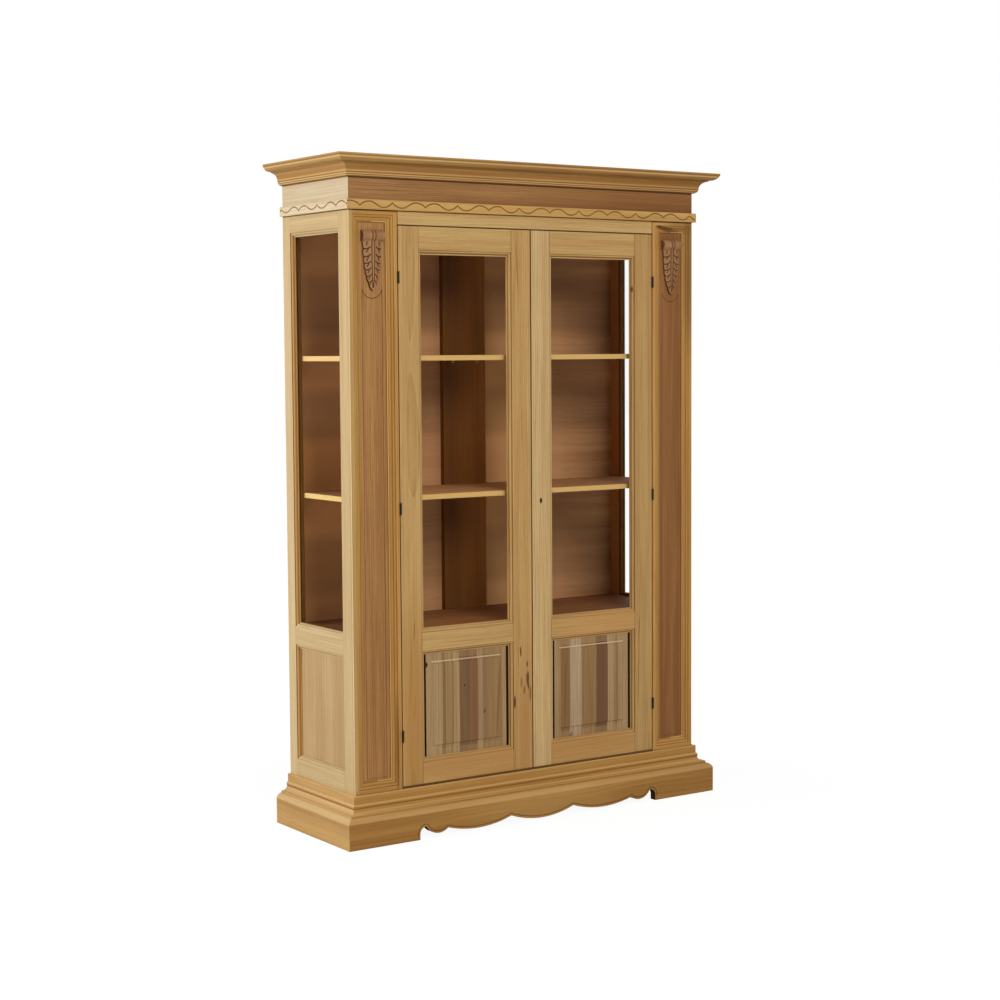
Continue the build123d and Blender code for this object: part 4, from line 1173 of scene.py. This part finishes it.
def makeRoll(look):
    freeTheSelection()
    stations = look["profile"] + [(-x, r) for x, r in reversed(look["profile"][:-1])]
    bpy.ops.mesh.primitive_cylinder_add(vertices=56, radius=1, depth=1, rotation=(0, math.radians(90), 0))
    roll = bpy.context.object
    bpy.ops.object.transform_apply(location=True, rotation=True, scale=True)
    bpy.ops.object.mode_set(mode="EDIT")
    for i in range(1, len(stations) - 1):
        bpy.ops.mesh.select_all(action="SELECT")
        bpy.ops.mesh.bisect(plane_co=(i / (len(stations) - 1) - 0.5, 0, 0), plane_no=(1, 0, 0))
    bpy.ops.object.mode_set(mode="OBJECT")
    for vertex in roll.data.vertices:
        where, radius = stations[round((vertex.co.x + 0.5) * (len(stations) - 1))]
        vertex.co = (where, vertex.co.y * radius + look["level"], vertex.co.z * radius + look["height"])
    lower = {"plane_co": (0, 0, 0), "plane_no": (0, 0, 1), "clear_inner": True, "use_fill": True}
    edited(roll, bisect=lower, normals_make_consistent=outwards)
    # the band and the ends take darker finishes: painted shade
    for face in roll.data.polygons:
        along = abs(face.center.x)
        if look["band"][0] < along < look["band"][1]:
            face.material_index = 1
        elif along > look["end"]:
            face.material_index = 2
    return roll


def halfAt(look, level):
    for (low, first), (high, second) in zip(look["outline"], look["outline"][1:]):
        if level <= high:
            return first + (second - first) * (level - low) / (high - low)


def surfaceAt(look, x, y):
    arch = math.sqrt(look["crownRadius"] ** 2 - x * x) - look["crownRadius"]
    return look["crown"] + arch - look["fall"] * (look["top"] - y) / look["top"]


def leafOutline(look):  # from the tip up one side and down the other
    levels = [look["top"]] + look["notches"]
    side = [(halfAt(look, look["top"]), look["top"])]
    for high, low in zip(levels, levels[1:]):
        middle = (high + low) / 2 - 2
        start = side[-1]
        end = (halfAt(look, low) - look["notch"], low)
        side += arcThrough(start, (halfAt(look, middle) + look["bulge"], middle), end, 7)[1:]
    lowest = look["notches"][-1]
    side += arcThrough(side[-1], (halfAt(look, lowest / 2) + 1, lowest / 2), (0, 0), 8)[1:]
    return side + [(-x, y) for x, y in reversed(side[:-1])]


def leafCuts(look):  # a seam under each lobe and a gouge in it, then the rib, and all mirrored
    notches = look["notches"]
    heights = [look["firstLobe"]] + [high - low for high, low in zip(notches, notches[1:])]
    lines = []
    for low, tall in zip(notches, heights):
        half, step = halfAt(look, low), tall / look["usualLobe"]
        width = look["cut"] * (0.45 + 0.55 * half / look["usualHalf"])  # finer towards the tip
        stroke = (half + 3, low - 0.8), (half * 0.42, low - 1.2 * step), (half * 0.29, low + 7 * step)
        gouge = (half * 0.53, low - 0.6), (half * 0.58, low - 5 * step), (half * 0.73, low - 10.5 * step)
        lines.append((bentLine(*stroke), width))
        lines.append((bentLine(*gouge, 5), width * look["gouge"]))
    lines.append((bentLine(*look["topGouge"], 5), look["cut"] * look["gouge"]))
    lines.append((look["rib"], look["ribCut"]))
    cutters = [rod([(x, y, surfaceAt(look, x, y)) for x, y in line], width) for line, width in lines]
    mirrors = [moved(copied(cutter), sized(-1, 1, 1)) for cutter in cutters]
    for mirror in mirrors:
        mirror.data.flip_normals()
    return cutters + mirrors


def makeLeaf(look):
    leaf = plate(leafOutline(look), 0, 2 * look["crown"])
    # the leaf's walls and its cuts take the dark cutReddish finish: painted shade
    leaf.data.materials.append(materials["cutReddish"])
    radius = look["crownRadius"]
    bpy.ops.mesh.primitive_cylinder_add(vertices=300, radius=radius, depth=4 * look["top"])
    lean = math.degrees(math.atan(look["fall"] / look["top"]))
    lift = Matrix.Translation((0, look["top"], look["crown"])) @ turned(lean, "X")
    roof = moved(bpy.context.object, lift @ Matrix.Translation((0, 0, -radius)) @ turned(90, "X"))
    cutBy(leaf, roof, "carving", "INTERSECT")
    for cutter in leafCuts(look):
        cutBy(leaf, cutter, "cutReddish")
    return leaf


def makeCorbels(look):
    leaf, roll = makeLeaf(look), makeRoll(rollLook)
    for finish in ("carving", "cutReddish", "carvingEnd"):
        roll.data.materials.append(materials[finish])
    for side, name in ((-1, "leftCorbel"), (1, "rightCorbel")):
        place = Matrix.Translation((side * look["centre"], look["panel"], look["tip"]))
        toPanel = place @ turned(90, "X") @ sized(mm, mm, mm)
        corbel = joined([moved(copied(leaf), toPanel), moved(copied(roll), toPanel)], name)
        smoothed(corbel, 50)
        settled(corbel, "corbels", "cabinet")
    for piece in (leaf, roll):
        bpy.data.objects.remove(piece)


makeCorbels(corbelLook)
print("corbels carved")


# Floor, backdrop and light

white = (1, 1, 1, 1)
studio = {
    "floorSize": 60,
    "floorTone": 0.86,
    "patches": (1.3, 1.3, 1.3),
    "near": 0.88,  # how white the floor shows beside the cabinet, and it is full further out
    "fade": (0.9, 2.2),
    "glow": 1.06,
    "ambient": 0.33,
    "lamps": {
        "sideLamp": {"place": (-4.9, 1.4, 2.4), "aim": (0, 0, 1.0), "size": (2.6, 2.8), "power": 190},
        "frontLamp": {"place": (-0.9, -5.6, 3.8), "aim": (0, 0, 1.0), "size": (2.8, 2.2), "power": 215},
    },
}


def floorMaterial(name, look):
    g = Graph(bpy.data.materials.new(name))
    ground = g.noise(g.stretch(g.objectPlace(), look["patches"]), 2.0)
    x, y, z = g.split(g.objectPlace())
    lift = look["near"] + (1 - look["near"]) * (x * x + y * y).root().step(*look["fade"])
    level = look["floorTone"]
    colour = g.mix(ground, (level, level, level, 1), (level - 0.01, level - 0.01, level - 0.012, 1))
    matt = g.node("BsdfDiffuse", None, {"Color": colour})
    glow = g.node("Emission", None, {"Color": white, "Strength": look["glow"]})
    seen = g.rays("Camera")[0]
    return g.finish(g.node("MixShader", None, {0: seen * lift, 1: matt, 2: glow}))


def makeLamp(name, lamp):
    data = bpy.data.lights.new(name, "AREA")
    data.shape = "RECTANGLE"
    data.size, data.size_y = lamp["size"]
    data.energy = lamp["power"]
    made = placed(name, data)
    made.location = lamp["place"]
    made.rotation_euler = (Vector(lamp["aim"]) - Vector(lamp["place"])).to_track_quat("-Z", "Y").to_euler()


def makeWorld(name, look):  # white where it is seen, also in glass, and a weak light elsewhere
    g = Graph(bpy.data.worlds.new(name))
    camera, glossy, through = g.rays("Camera", "Glossy", "Transmission")
    plain = g.node("Background", None, {"Color": white, "Strength": look["ambient"]})
    seen = g.node("Background", None, {"Color": white, "Strength": 1.0})
    either = camera.larger(glossy).larger(through)
    mixed = g.node("MixShader", None, {0: either, 1: plain, 2: seen})
    return g.finish(mixed, "OutputWorld")


def makeStudio(look):
    freeTheSelection()
    bpy.ops.mesh.primitive_plane_add(size=look["floorSize"])
    floor = bpy.context.object
    floor.name = "studioFloor"
    floor.data.materials.append(floorMaterial("studioFloor", look))
    for name, lamp in look["lamps"].items():
        makeLamp(name, lamp)
    bpy.context.scene.world = makeWorld("studio", look)


makeStudio(studio)
print("studio lit")


bpy.context.view_layer.update()
